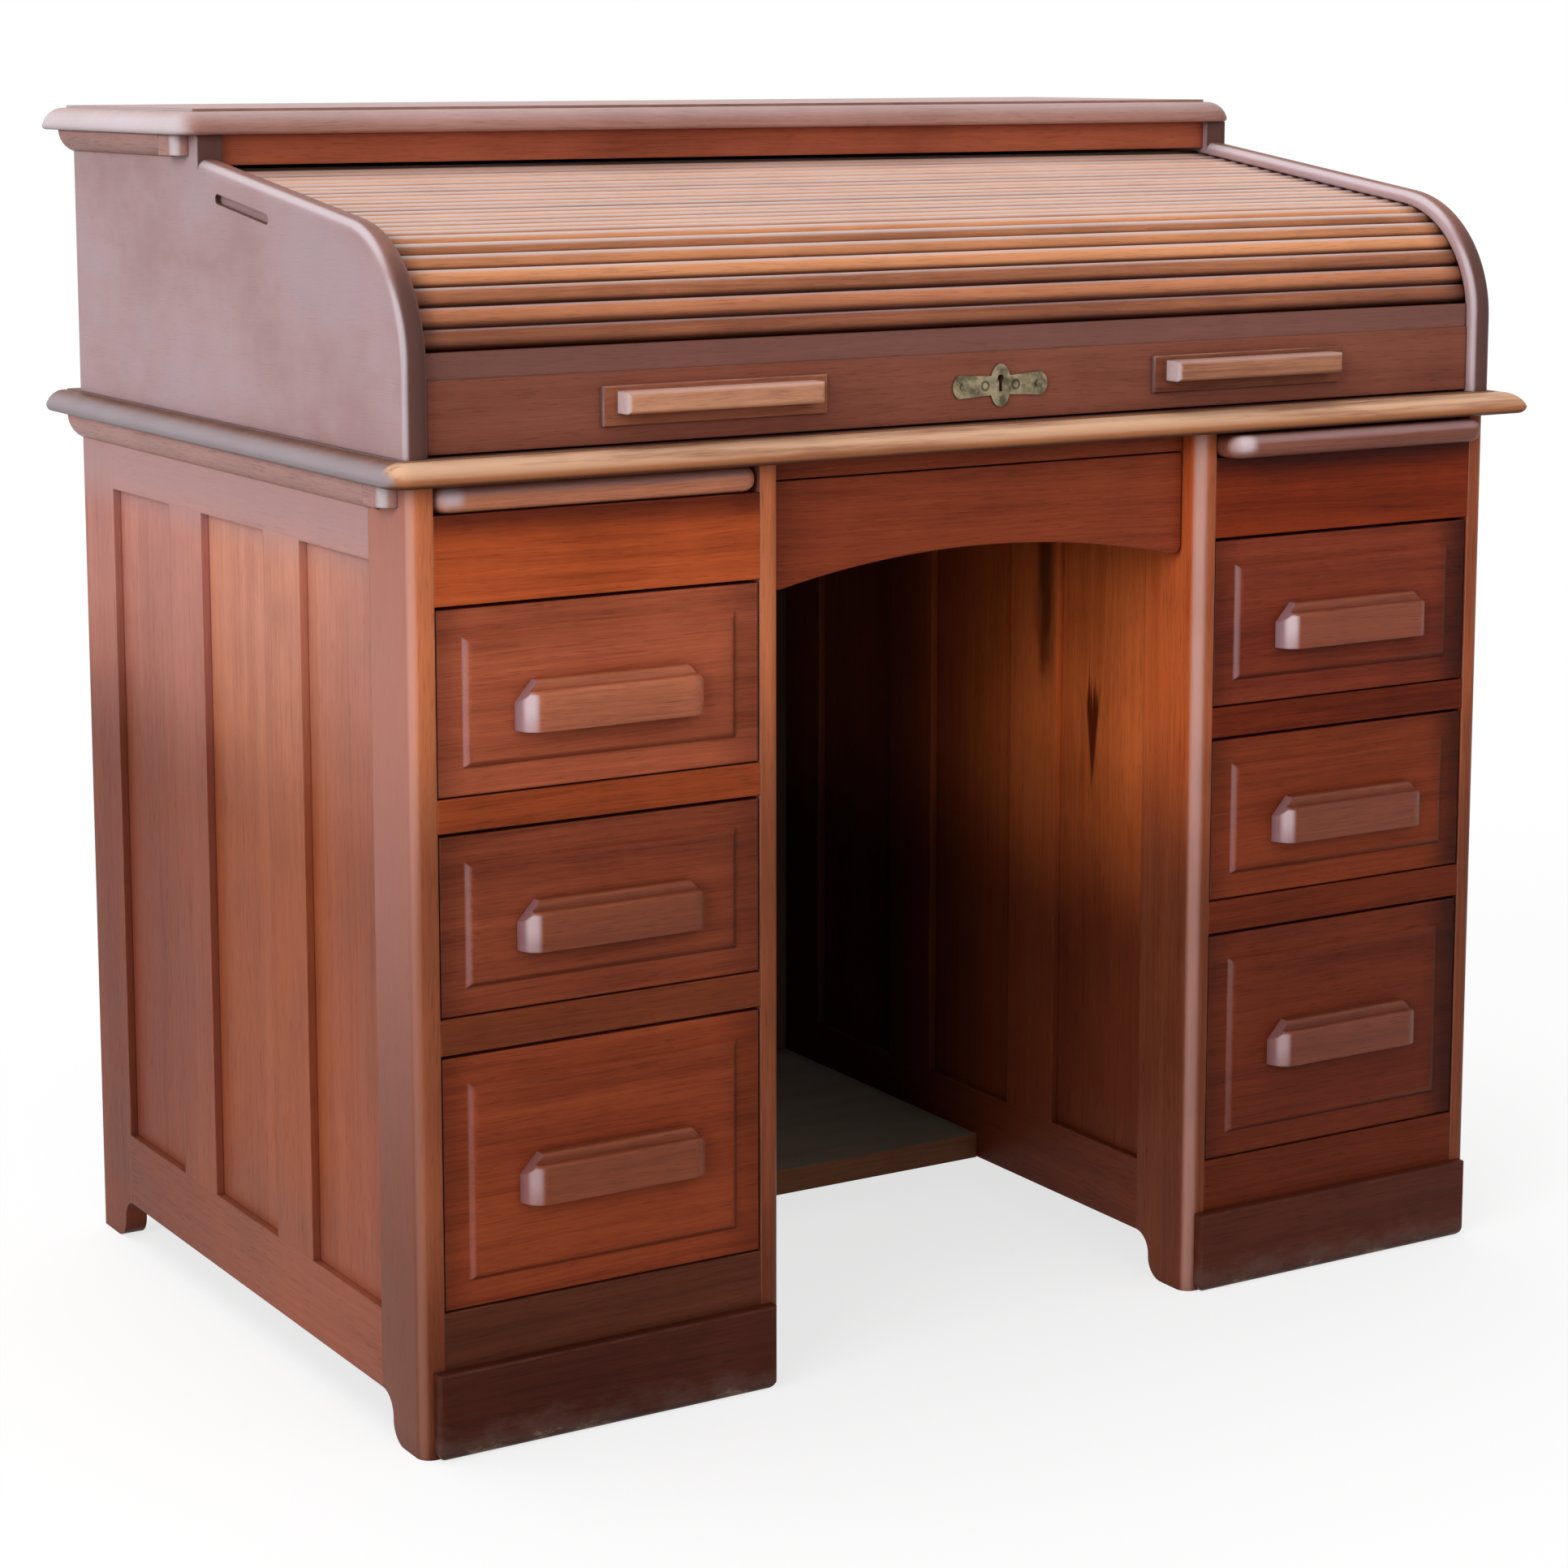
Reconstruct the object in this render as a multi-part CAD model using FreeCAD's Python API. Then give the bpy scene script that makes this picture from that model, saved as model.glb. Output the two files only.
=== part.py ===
import FreeCAD, Part
import math
import os
from FreeCAD import Vector

os.makedirs("parts", exist_ok=True)

# Twin pedestal kneehole desk with a tambour roll top.
# Millimetres. X runs along the width, the front faces -Y, Z is up from the floor.

# Overall sizes
slab_width = 1104.0
slab_depth = 714.0
slab_thickness = 19.5
slab_nose_step = 1.0
slab_nose_reach = 20.0
slab_nose_tip = 6.5
side_overhang = 25.0
front_overhang = 23.5
back_overhang = 23.5

# Pedestals
pedestal_width = 322.0
gable_thickness = 20.0
stile_width = 70.0
muntin_width = 70.0
stile_round = 12.0
bottom_rail_height = 64.0
top_rail_height = 62.0
panel_thickness = 6.0
panel_recess = 7.0
panel_tongue = 6.0
panels_per_gable = 3
rail_underside = 38.0
heel_round = 18.0
heel_hollow = 18.0
plinth_height = 70.0
plinth_thickness = 10.0
plinth_inset = 10.0
plinth_round = 3.0
plinth_corner = 8.0
front_rail_thickness = 20.0
back_panel_thickness = 8.0

# Heights of the drawer openings, from the floor
bottom_drawer_floor = 115.0
bottom_drawer_opening = 202.0
lower_divider = 28.0
middle_drawer_opening = 143.0
upper_divider = 26.0
top_drawer_opening = 146.0
slide_rail_height = 68.0
bottom_rail_floor = 20.0
runner_width = 14.0
runner_height = 14.0

# Writing slides
slide_thickness = 20.0
slide_below = 0.5
slide_above = 2.5
slide_back_room = 52.0
slide_corner = 14.0
slide_nose = 9.0
left_slide_proud = 3.0
right_slide_proud = 23.0
slide_side_gap = 1.0

# Drawers
front_thickness = 18.0
front_recess = 1.0
front_gap = 1.5
front_top_gap = 3.0
field_margin = 20.0
field_raise = 5.0
field_round = 9.0
field_sunk = 6.0
box_back_room = 95.0
box_side = 10.0
box_back = 10.0
box_bottom = 5.0
box_side_gap = 1.0
box_ride = 0.5
box_bottom_lift = 6.0
box_top_drop = 12.0

# Drawer pulls, hollow from below for the fingers
pull_width = 162.0
pull_depth = 18.0
pull_body_height = 31.0
pull_body_round = 3.0
pull_cap_height = 7.5
pull_cap_depth = 10.0
pull_cap_round = 3.0
pull_hip_height = 16.5
pull_hip_inset = 15.0
pull_wall = 6.0
pull_hollow_height = 24.0
pull_aside = 3.5
top_pull_drop = 6.0
middle_pull_drop = 5.0
bottom_pull_drop = 3.0

# Kneehole
centre_set_back = 20.0
centre_rail_height = 17.0
centre_front_height = 88.0
centre_front_thickness = 18.0
centre_arch_rise = 24.0
centre_corner = 8.0
centre_box_height = 28.0
centre_box_back_room = 201.0
centre_runner_height = 12.0
centre_runner_width = 12.0
footboard_bottom = 37.0
footboard_thickness = 23.0
footboard_depth = 349.5
modesty_thickness = 8.0

# Roll top case
upper_gable_thickness = 22.0
upper_gable_proud = 3.0
upper_front_set_back = 22.0
upper_back_set_back = 29.0
upper_gable_edge = 9.5
roll_shoulder_height = 64.5
roll_radius = 110.0
roll_step_height = 19.5
roll_case_height = 230.5
roll_case_depth = 282.0
cornice_thickness = 21.0
cornice_left_overhang = 20.0
cornice_right_overhang = 8.0
cornice_front_overhang = 8.0
cornice_back_overhang = 24.0
cornice_nose_step = 2.5
cornice_nose_reach = 23.0
cornice_nose_tip = 3.5
frieze_set_back = 6.0
frieze_thickness = 20.0
frieze_height = 25.0
upper_back_thickness = 8.0
store_depth = 64.0
inner_back_thickness = 6.0
inner_back_drop = 46.0
slot_length = 106.0
slot_height = 8.0
slot_depth = 5.0
slot_drop = 30.0
slot_from_step = 140.0

# Side mouldings under the slab and under the cornice
slab_moulding_height = 22.0
cornice_moulding_height = 18.5
moulding_width = 14.0
moulding_belly = 11.5
moulding_foot = 1.0
moulding_block_height = 17.0
moulding_block_length = 17.0
moulding_block_gap = 1.2
slab_moulding_set_back = 18.0
cornice_moulding_set_back = 18.0

# Tambour
path_set_back = 16.0
store_radius = 80.0
store_back_gap = 29.6
store_floor_gap = 8.0
groove_width = 10.0
groove_depth = 7.0
slat_pitch = 17.0
slat_width = 16.4
slat_thickness = 8.0
slat_engage = 5.5
slat_shoulder = 1.2
canvas_thickness = 1.0
canvas_side_gap = 2.0
curtain_past_frieze = 18.0
lead_thickness = 14.0
lead_height = 75.0
lead_lift = 2.0
lead_end_gap = 1.0
lead_strip = 20.0
lead_strip_step = 1.5
lead_open_from_step = 46.0
curtain_gap = 0.6

# Lift handles on the lead rail
handle_offset = 261.0
handle_plate_width = 201.0
handle_plate_height = 31.0
handle_plate_thickness = 4.0
handle_plate_round = 1.5
handle_plate_lift = 13.5
handle_bar_width = 176.0
handle_bar_height = 17.0
handle_bar_depth = 19.0
handle_bar_drop = 4.0
handle_bar_round = 5.0

# Lock, escutcheon and strike, a little right of the middle
lock_x = 6.5
plate_thickness = 1.6
plate_lift = 27.5
plate_oval_width = 20.5
plate_oval_height = 35.0
wing_length = 46.5
wing_root = 14.5
wing_tip = 19.0
wing_end = 6.0
keyhole_lift = 6.0
keyhole_bow = 5.5
keyhole_slot_width = 3.0
keyhole_slot_drop = 11.0
screw_head = 5.0
screw_head_height = 1.2
screw_shank = 2.4
screw_length = 9.0
screw_from_middle = 37.0
lock_case_width = 64.0
lock_case_height = 38.0
lock_case_thickness = 11.0
lock_case_lift = 9.5
bolt_width = 22.0
bolt_thickness = 5.0
bolt_height = 24.0
bolt_above_slab = 1.5
bolt_travel = 10.0
bolt_gap = 0.5
mortise_spare = 2.0
strike_width = 46.0
strike_depth = 14.0
strike_thickness = 2.0

# Pigeonholes inside the roll top
gallery_depth = 132.0
gallery_height = 128.0
gallery_board = 9.0
gallery_bays = 6
gallery_shelf_height = 44.0

# Heights worked out from the floor up
bottom_drawer_top = bottom_drawer_floor + bottom_drawer_opening
middle_drawer_floor = bottom_drawer_top + lower_divider
middle_drawer_top = middle_drawer_floor + middle_drawer_opening
top_drawer_floor = middle_drawer_top + upper_divider
top_drawer_top = top_drawer_floor + top_drawer_opening
slide_rail_top = top_drawer_top + slide_rail_height
slide_bottom = slide_rail_top + slide_below
slab_under = slide_bottom + slide_thickness + slide_above
slab_top = slab_under + slab_thickness
panel_bottom = rail_underside + bottom_rail_height
panel_top = slab_under - top_rail_height
roll_shoulder = slab_top + roll_shoulder_height
cornice_bottom = slab_top + roll_case_height
step_z = cornice_bottom - roll_step_height
inner_back_top = cornice_bottom - inner_back_drop
lead_bottom = slab_top + lead_lift
lead_top = lead_bottom + lead_height
handle_plate_bottom = lead_bottom + handle_plate_lift
plate_middle = lead_bottom + plate_lift
lock_case_bottom = lead_bottom + lock_case_lift

# Places along the width
body_half = slab_width / 2 - side_overhang
left_pedestal = -body_half
right_pedestal = body_half - pedestal_width
knee_half = body_half - pedestal_width
upper_gable_outer = body_half + upper_gable_proud
upper_inner = upper_gable_outer - upper_gable_thickness

# Places from front to back
front_y = -slab_depth / 2 + front_overhang
back_y = slab_depth / 2 - back_overhang
box_front = front_y + front_recess + front_thickness
box_length = back_y - back_panel_thickness - box_back_room - box_front
slide_length = back_y - back_panel_thickness - slide_back_room - front_y + left_slide_proud
footboard_front = back_y - footboard_depth
upper_gable_front = -slab_depth / 2 + upper_front_set_back
upper_gable_back = slab_depth / 2 - upper_back_set_back
roll_step = upper_gable_back - roll_case_depth
cornice_front = roll_step - cornice_front_overhang
cornice_back = upper_gable_back + cornice_back_overhang
frieze_front = roll_step + frieze_set_back
upper_back_front = upper_gable_back - upper_back_thickness
inner_back_front = upper_back_front - store_depth - inner_back_thickness
gallery_front = inner_back_front - gallery_depth
curtain_end = frieze_front + frieze_thickness + curtain_past_frieze
lead_open_middle = roll_step - lead_open_from_step
slot_front = roll_step - slot_from_step

# The roll's slope touches the front curve and ends at the step under the cornice
roll_y = upper_gable_front + roll_radius
roll_z = roll_shoulder
step_reach = math.hypot(roll_step - roll_y, step_z - roll_z)
slope = math.atan2(step_z - roll_z, roll_step - roll_y) - math.asin(roll_radius / step_reach)
slope_y = math.cos(slope)
slope_z = math.sin(slope)


def block(x0, x1, y0, y1, z0, z1):
    """A box between two opposite corners."""
    return Part.makeBox(x1 - x0, y1 - y0, z1 - z0, Vector(x0, y0, z0))


def arc(start, middle, end):
    """A circular edge through three points."""
    return Part.Arc(start, middle, end).toShape()


def line(start, end):
    return Part.makeLine(start, end)


def prism(edges, direction):
    """A closed chain of edges pushed along a direction."""
    return Part.Face(Part.Wire(edges)).extrude(direction)


def save(name, solids):
    """Write one named piece, or a group of like pieces, to its file."""
    shape = solids[0] if len(solids) == 1 else Part.makeCompound(solids)
    shape.exportStep("parts/" + name + ".step")


def upright_edges(shape, y_limit):
    """The upright edges of a shape that lie in front of y_limit."""
    found = []
    for edge in shape.Edges:
        box = edge.BoundBox
        if box.ZLength > 1 and box.XLength < 0.01 and box.YLength < 0.01 and box.YMax < y_limit:
            found.append(edge)
    return found


def level_edges(shape, z, y_limit):
    """The level edges of a shape at one height, without those at the back."""
    found = []
    for edge in shape.Edges:
        box = edge.BoundBox
        if abs(box.ZMin - z) < 0.01 and abs(box.ZMax - z) < 0.01 and box.YMin < y_limit:
            found.append(edge)
    return found


def nose_edges(place, z0, z1, step, reach, tip):
    """Outline of a nose: a small step, a long rounding down to the tip and a short one under it."""
    half = math.sqrt(0.5)
    tip_z = z0 + tip
    rise = z1 - step - tip_z
    top = place(reach, z1)
    ledge = place(reach, z1 - step)
    upper = place(reach * (1 - half), tip_z + rise * half)
    point = place(0, tip_z)
    lower = place(tip * (1 - half), z0 + tip * (1 - half))
    low = place(tip, z0)
    return top, low, [line(top, ledge), arc(ledge, upper, point), arc(point, lower, low)]


def nosed_board(x0, x1, y0, y1, z0, z1, nose, turned):
    """A level board with a nose on its front and sides, mitred at the front corners or turned round them."""
    left_top, left_low, edges = nose_edges(lambda inward, z: Vector(x0 + inward, y0, z), z0, z1, *nose)
    right_top, right_low, more = nose_edges(lambda inward, z: Vector(x1 - inward, y0, z), z0, z1, *nose)
    edges += more + [line(left_top, right_top), line(left_low, right_low)]
    across = prism(Part.sortEdges(edges)[0], Vector(0, y1 - y0, 0))

    front_top, front_low, edges = nose_edges(lambda inward, z: Vector(x0, y0 + inward, z), z0, z1, *nose)
    back_top = Vector(x0, y1, z1)
    back_low = Vector(x0, y1, z0)
    edges += [line(front_top, back_top), line(back_top, back_low), line(back_low, front_low)]
    board = across.common(prism(Part.sortEdges(edges)[0], Vector(x1 - x0, 0, 0)))

    reach = nose[1]
    y_axis = y0 + reach
    for way in turned:
        edge_x = x0 if way < 0 else x1
        x_axis = edge_x - way * reach

        def place(inward, z):
            return Vector(edge_x - way * inward, y_axis, z)

        top, low, edges = nose_edges(place, z0, z1, *nose)
        foot = Vector(x_axis, y_axis, z0)
        edges += [line(low, foot), line(foot, top)]
        profile = Part.Face(Part.Wire(Part.sortEdges(edges)[0]))
        corner = profile.revolve(foot, Vector(0, 0, 1), -90 * way)
        square = block(min(edge_x, x_axis), max(edge_x, x_axis), y0, y_axis, z0, z1)
        board = board.cut(square).fuse(corner)
    return board.removeSplitter()


# Frame and panel gables of the pedestals
heel_start = front_y + stile_width - heel_round - heel_hollow
heel_end = front_y + stile_width
bay = (back_y - front_y - 2 * stile_width - (panels_per_gable - 1) * muntin_width) / panels_per_gable


def heel_cut(x0, x1, mirrored):
    """What is cut from a stile's foot: a rounded heel running up into a hollow."""
    half = math.sqrt(0.5)

    def at(y, z):
        return Vector(x0, front_y + back_y - y if mirrored else y, z)

    heel_y = heel_start + heel_round
    heel_middle = at(heel_start + heel_round * half, heel_round * (1 - half))
    hollow_middle = at(heel_end - heel_hollow * half, rail_underside - heel_hollow * (1 - half))
    edges = [
        arc(at(heel_start, 0), heel_middle, at(heel_y, heel_round)),
        line(at(heel_y, heel_round), at(heel_y, rail_underside - heel_hollow)),
        arc(at(heel_y, rail_underside - heel_hollow), hollow_middle, at(heel_end, rail_underside)),
        line(at(heel_end, rail_underside), at(heel_end, 0)),
        line(at(heel_end, 0), at(heel_start, 0)),
    ]
    return prism(edges, Vector(x1 - x0, 0, 0))


def gable(x0, outer_left):
    """Front stile, the other frame members and the panels of one gable."""
    x1 = x0 + gable_thickness
    if outer_left:
        panel_x0 = x0 + panel_recess
    else:
        panel_x0 = x1 - panel_recess - panel_thickness
    panel_x1 = panel_x0 + panel_thickness
    panels = []
    members = []
    y = front_y + stile_width
    for number in range(panels_per_gable):
        panels.append(block(panel_x0, panel_x1, y - panel_tongue, y + bay + panel_tongue,
                            panel_bottom - panel_tongue, panel_top + panel_tongue))
        if number < panels_per_gable - 1:
            members.append(block(x0, x1, y + bay, y + bay + muntin_width, panel_bottom, panel_top))
        y += bay + muntin_width
    rear = block(x0, x1, back_y - stile_width, back_y, 0, slab_under)
    members.append(rear.cut(heel_cut(x0, x1, True)))
    rail_front = front_y + stile_width
    rail_back = back_y - stile_width
    members.append(block(x0, x1, rail_front, rail_back, rail_underside, panel_bottom))
    members.append(block(x0, x1, rail_front, rail_back, panel_top, slab_under))
    stile = block(x0, x1, front_y, rail_front, 0, slab_under)
    outer_x = x0 if outer_left else x1
    corner = [e for e in upright_edges(stile, front_y + 1) if abs(e.BoundBox.XMin - outer_x) < 0.01]
    stile = stile.makeFillet(stile_round, corner).cut(heel_cut(x0, x1, False))
    for panel in panels:
        stile = stile.cut(panel)
        members = [member.cut(panel) for member in members]
    return stile, members, panels


# Drawer pieces
def raised_front(x0, x1, z0, z1):
    """A drawer front whose middle stands proud with a broad rounded edge."""
    face = front_y + front_recess
    board = block(x0, x1, face, face + front_thickness, z0, z1)
    field = block(x0 + field_margin, x1 - field_margin, face - field_raise, face + field_sunk,
                  z0 + field_margin, z1 - field_margin)
    rim = [e for e in field.Edges if abs(e.BoundBox.YMax - (face - field_raise)) < 0.01]
    return board.fuse(field.makeFillet(field_round, rim)).removeSplitter()


def drawer_box(x0, x1, y0, length, z0, z1):
    """Two sides, a back and a bottom, open at the top."""
    y1 = y0 + length
    bottom = z0 + box_bottom_lift
    left = block(x0, x0 + box_side, y0, y1, z0, z1)
    right = block(x1 - box_side, x1, y0, y1, z0, z1)
    floor = block(x0 + box_side, x1 - box_side, y0, y1, bottom, bottom + box_bottom)
    back = block(x0 + box_side, x1 - box_side, y1 - box_back, y1, bottom + box_bottom, z1)
    return [left, right, floor, back]


def rounded_plan(middle, y_back, width, depth, z0, height):
    """A block with a flat front and quarter round ends, seen from above."""
    half = math.sqrt(0.5)
    x0 = middle - width / 2
    x1 = middle + width / 2
    y_front = y_back - depth
    left_mid = Vector(x0 + depth * (1 - half), y_back - depth * half, z0)
    right_mid = Vector(x1 - depth * (1 - half), y_back - depth * half, z0)
    edges = [
        arc(Vector(x0, y_back, z0), left_mid, Vector(x0 + depth, y_front, z0)),
        line(Vector(x0 + depth, y_front, z0), Vector(x1 - depth, y_front, z0)),
        arc(Vector(x1 - depth, y_front, z0), right_mid, Vector(x1, y_back, z0)),
        line(Vector(x1, y_back, z0), Vector(x0, y_back, z0)),
    ]
    return prism(edges, Vector(0, 0, height))


def drawer_pull(middle, z_middle):
    """A wooden pull with rounded ends, a thinner cap, hipped upper corners and a hollow for the fingers."""
    y_back = front_y + front_recess - field_raise
    z0 = z_middle - (pull_body_height + pull_cap_height) / 2
    shoulder = z0 + pull_body_height
    z_top = shoulder + pull_cap_height
    x0 = middle - pull_width / 2
    x1 = middle + pull_width / 2
    body = rounded_plan(middle, y_back, pull_width, pull_depth, z0, pull_body_height)
    body = body.makeFillet(pull_body_round, level_edges(body, shoulder, y_back - 1))
    cap = rounded_plan(middle, y_back, pull_width, pull_cap_depth, shoulder, pull_cap_height)
    cap = cap.makeFillet(pull_cap_round, level_edges(cap, z_top, y_back - 1))
    hollow = rounded_plan(middle, y_back, pull_width - 2 * pull_wall, pull_depth - pull_wall,
                          z0, pull_hollow_height)
    pull = body.fuse(cap).cut(hollow)
    for end_x, inward in [(x0, 1), (x1, -1)]:
        top = Vector(end_x + inward * pull_hip_inset, y_back, z_top)
        corner = Vector(end_x, y_back, z_top)
        low = Vector(end_x, y_back, z_top - pull_hip_height)
        hip = prism([line(top, corner), line(corner, low), line(low, top)], Vector(0, -pull_depth, 0))
        pull = pull.cut(hip)
    return pull.removeSplitter()


# Both pedestals with their drawers and writing slides
openings = [
    ("top", top_drawer_floor, top_drawer_top, top_pull_drop),
    ("middle", middle_drawer_floor, middle_drawer_top, middle_pull_drop),
    ("bottom", bottom_drawer_floor, bottom_drawer_top, bottom_pull_drop),
]


def pedestal(side, x0, slide_proud):
    x1 = x0 + pedestal_width
    inner0 = x0 + gable_thickness
    inner1 = x1 - gable_thickness
    stile_a, frame_a, panels_a = gable(x0, True)
    stile_b, frame_b, panels_b = gable(inner1, False)
    save(side + "_front_stiles", [stile_a, stile_b])
    save(side + "_gable_frames", frame_a + frame_b)
    save(side + "_gable_panels", panels_a + panels_b)

    rail_y1 = front_y + front_rail_thickness
    spans = [
        (bottom_rail_floor, bottom_drawer_floor),
        (bottom_drawer_top, middle_drawer_floor),
        (middle_drawer_top, top_drawer_floor),
        (top_drawer_top, slide_rail_top),
    ]
    save(side + "_front_rails", [block(inner0, inner1, front_y, rail_y1, z0, z1) for z0, z1 in spans])

    plinth_front = front_y - plinth_thickness
    plinth = block(x0 + plinth_inset, x1 - plinth_inset, plinth_front, front_y, 0, plinth_height)
    rim = level_edges(plinth, plinth_height, front_y - 1) + upright_edges(plinth, front_y - 1)
    rim = [e for e in rim if abs(e.BoundBox.YMax - plinth_front) < 0.01]
    plinth = plinth.makeFillet(plinth_round, rim)
    low_ends = [e for e in plinth.Edges if e.BoundBox.ZMax < 0.01 and e.BoundBox.XLength < 0.01]
    save(side + "_plinth", [plinth.makeFillet(plinth_corner, low_ends)])

    runners = []
    for z in [bottom_drawer_floor, middle_drawer_floor, top_drawer_floor, slide_rail_top]:
        for rx in [inner0, inner1 - runner_width]:
            runners.append(block(rx, rx + runner_width, rail_y1, back_y - back_panel_thickness,
                                 z - runner_height, z))
    save(side + "_drawer_runners", runners)

    for level, z0, z1, drop in openings:
        name = side + "_" + level + "_drawer"
        save(name + "_front", [raised_front(inner0 + front_gap, inner1 - front_gap,
                                            z0 + front_gap, z1 - front_top_gap)])
        save(name + "_box", drawer_box(inner0 + box_side_gap, inner1 - box_side_gap, box_front, box_length,
                                       z0 + box_ride, z1 - box_top_drop))
        save(name + "_pull", [drawer_pull((x0 + x1) / 2 + pull_aside, (z0 + z1) / 2 - drop)])

    slide_top = slide_bottom + slide_thickness
    slide_front = front_y - slide_proud
    slide = block(inner0 + slide_side_gap, inner1 - slide_side_gap, slide_front, slide_front + slide_length,
                  slide_bottom, slide_top)
    slide = slide.makeFillet(slide_corner, upright_edges(slide, slide_front + 1))
    nose = level_edges(slide, slide_bottom, slide_front + 1) + level_edges(slide, slide_top, slide_front + 1)
    save(side + "_writing_slide", [slide.makeFillet(slide_nose, nose)])
    return block(inner0, inner1, back_y - back_panel_thickness, back_y, rail_underside, slab_under)


back_panels = [pedestal("left", left_pedestal, left_slide_proud)]
back_panels.append(pedestal("right", right_pedestal, right_slide_proud))

# Kneehole: footboard, back panel, centre drawer and its rail
footboard_top = footboard_bottom + footboard_thickness
save("footboard", [block(-knee_half, knee_half, footboard_front, back_y, footboard_bottom, footboard_top)])
back_panels.append(block(-knee_half, knee_half, back_y - modesty_thickness, back_y,
                         footboard_top, slab_under))
save("back_panels", back_panels)

centre_y = front_y + centre_set_back
centre_top = slab_under - centre_rail_height - front_gap
centre_bottom = centre_top - centre_front_height
save("kneehole_rail", [block(-knee_half, knee_half, centre_y, centre_y + centre_front_thickness,
                             slab_under - centre_rail_height, slab_under)])

cx = knee_half - front_gap
left_low = Vector(-cx, centre_y, centre_bottom)
right_low = Vector(cx, centre_y, centre_bottom)
arch_top = Vector(0, centre_y, centre_bottom + centre_arch_rise)
centre_edges = [
    line(Vector(-cx, centre_y, centre_top), left_low),
    arc(left_low, arch_top, right_low),
    line(right_low, Vector(cx, centre_y, centre_top)),
    line(Vector(cx, centre_y, centre_top), Vector(-cx, centre_y, centre_top)),
]
centre_front = prism(centre_edges, Vector(0, centre_front_thickness, 0))
low_corners = []
for edge in centre_front.Edges:
    edge_box = edge.BoundBox
    if edge_box.ZMax < centre_bottom + 0.01 and edge_box.YLength > 1 and edge_box.XLength < 0.01:
        low_corners.append(edge)
save("centre_drawer_front", [centre_front.makeFillet(centre_corner, low_corners)])

centre_box_y = centre_y + centre_front_thickness
centre_box_z = centre_top - front_gap - centre_box_height
centre_box_length = back_y - modesty_thickness - centre_box_back_room - centre_box_y
save("centre_drawer_box", drawer_box(-knee_half + box_side_gap, knee_half - box_side_gap, centre_box_y,
                                     centre_box_length, centre_box_z, centre_box_z + centre_box_height))
runner_z = centre_box_z - box_ride
centre_runners = []
for rx in [-knee_half, knee_half - centre_runner_width]:
    centre_runners.append(block(rx, rx + centre_runner_width, centre_box_y + 1, back_y - modesty_thickness,
                                runner_z - centre_runner_height, runner_z))
save("centre_drawer_runners", centre_runners)

# The line that the tambour runs along, seen from the side as (y, z)
path_front = upper_gable_front + path_set_back
path_radius = roll_radius - path_set_back
slope_y0 = roll_y - path_radius * slope_z
slope_z0 = roll_z + path_radius * slope_y
store_y = upper_back_front - store_back_gap - store_radius
store_start = store_y - store_radius * slope_z
slope_length = (store_start - slope_y0) / slope_y
store_z = slope_z0 + slope_length * slope_z
store_middle_z = store_z - store_radius * slope_y
store_bottom = slab_top + store_floor_gap
turn = math.pi / 2 - slope


def around(y, z, radius, angle):
    """A point on a circle, with the angle measured back from the front."""
    return y - radius * math.cos(angle), z + radius * math.sin(angle)


def band(low, high, x0, x1, start_angle, end_y):
    """A strip between two offsets from the path, from an angle on the front curve to a place on the slope."""
    edges = []
    corners = []
    for offset in [low, high]:
        radius = path_radius + offset
        first = around(roll_y, roll_z, radius, start_angle)
        half = around(roll_y, roll_z, radius, (start_angle + turn) / 2)
        last = around(roll_y, roll_z, radius, turn)
        run = (end_y - slope_y0) / slope_y
        end = (last[0] + run * slope_y, last[1] + run * slope_z)
        points = [Vector(x0, p[0], p[1]) for p in [first, half, last, end]]
        edges += [arc(points[0], points[1], points[2]), line(points[2], points[3])]
        corners.append((points[0], points[3]))
    edges.append(line(corners[0][0], corners[1][0]))
    edges.append(line(corners[0][1], corners[1][1]))
    return prism(Part.sortEdges(edges)[0], Vector(x1 - x0, 0, 0))


def groove(x0, x1):
    """The whole groove: up the front, round, along the slope, round and down at the back."""
    edges = []
    ends = []
    for offset in [-groove_width / 2, groove_width / 2]:
        front = path_radius + offset
        back = store_radius + offset
        a = Vector(x0, path_front - offset, slab_top)
        b = Vector(x0, path_front - offset, roll_z)
        c = Vector(x0, *around(roll_y, roll_z, front, turn / 2))
        d = Vector(x0, *around(roll_y, roll_z, front, turn))
        e = Vector(x0, *around(store_y, store_middle_z, back, turn))
        f = Vector(x0, *around(store_y, store_middle_z, back, (turn + math.pi) / 2))
        g = Vector(x0, store_y + back, store_middle_z)
        h = Vector(x0, store_y + back, store_bottom)
        edges += [line(a, b), arc(b, c, d), line(d, e), arc(e, f, g), line(g, h)]
        ends.append((a, h))
    edges.append(line(ends[0][0], ends[1][0]))
    edges.append(line(ends[0][1], ends[1][1]))
    return prism(Part.sortEdges(edges)[0], Vector(x1 - x0, 0, 0))


# Upper gables with the roll shaped front edge
edge_y, edge_z = around(roll_y, roll_z, roll_radius, turn)


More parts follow.
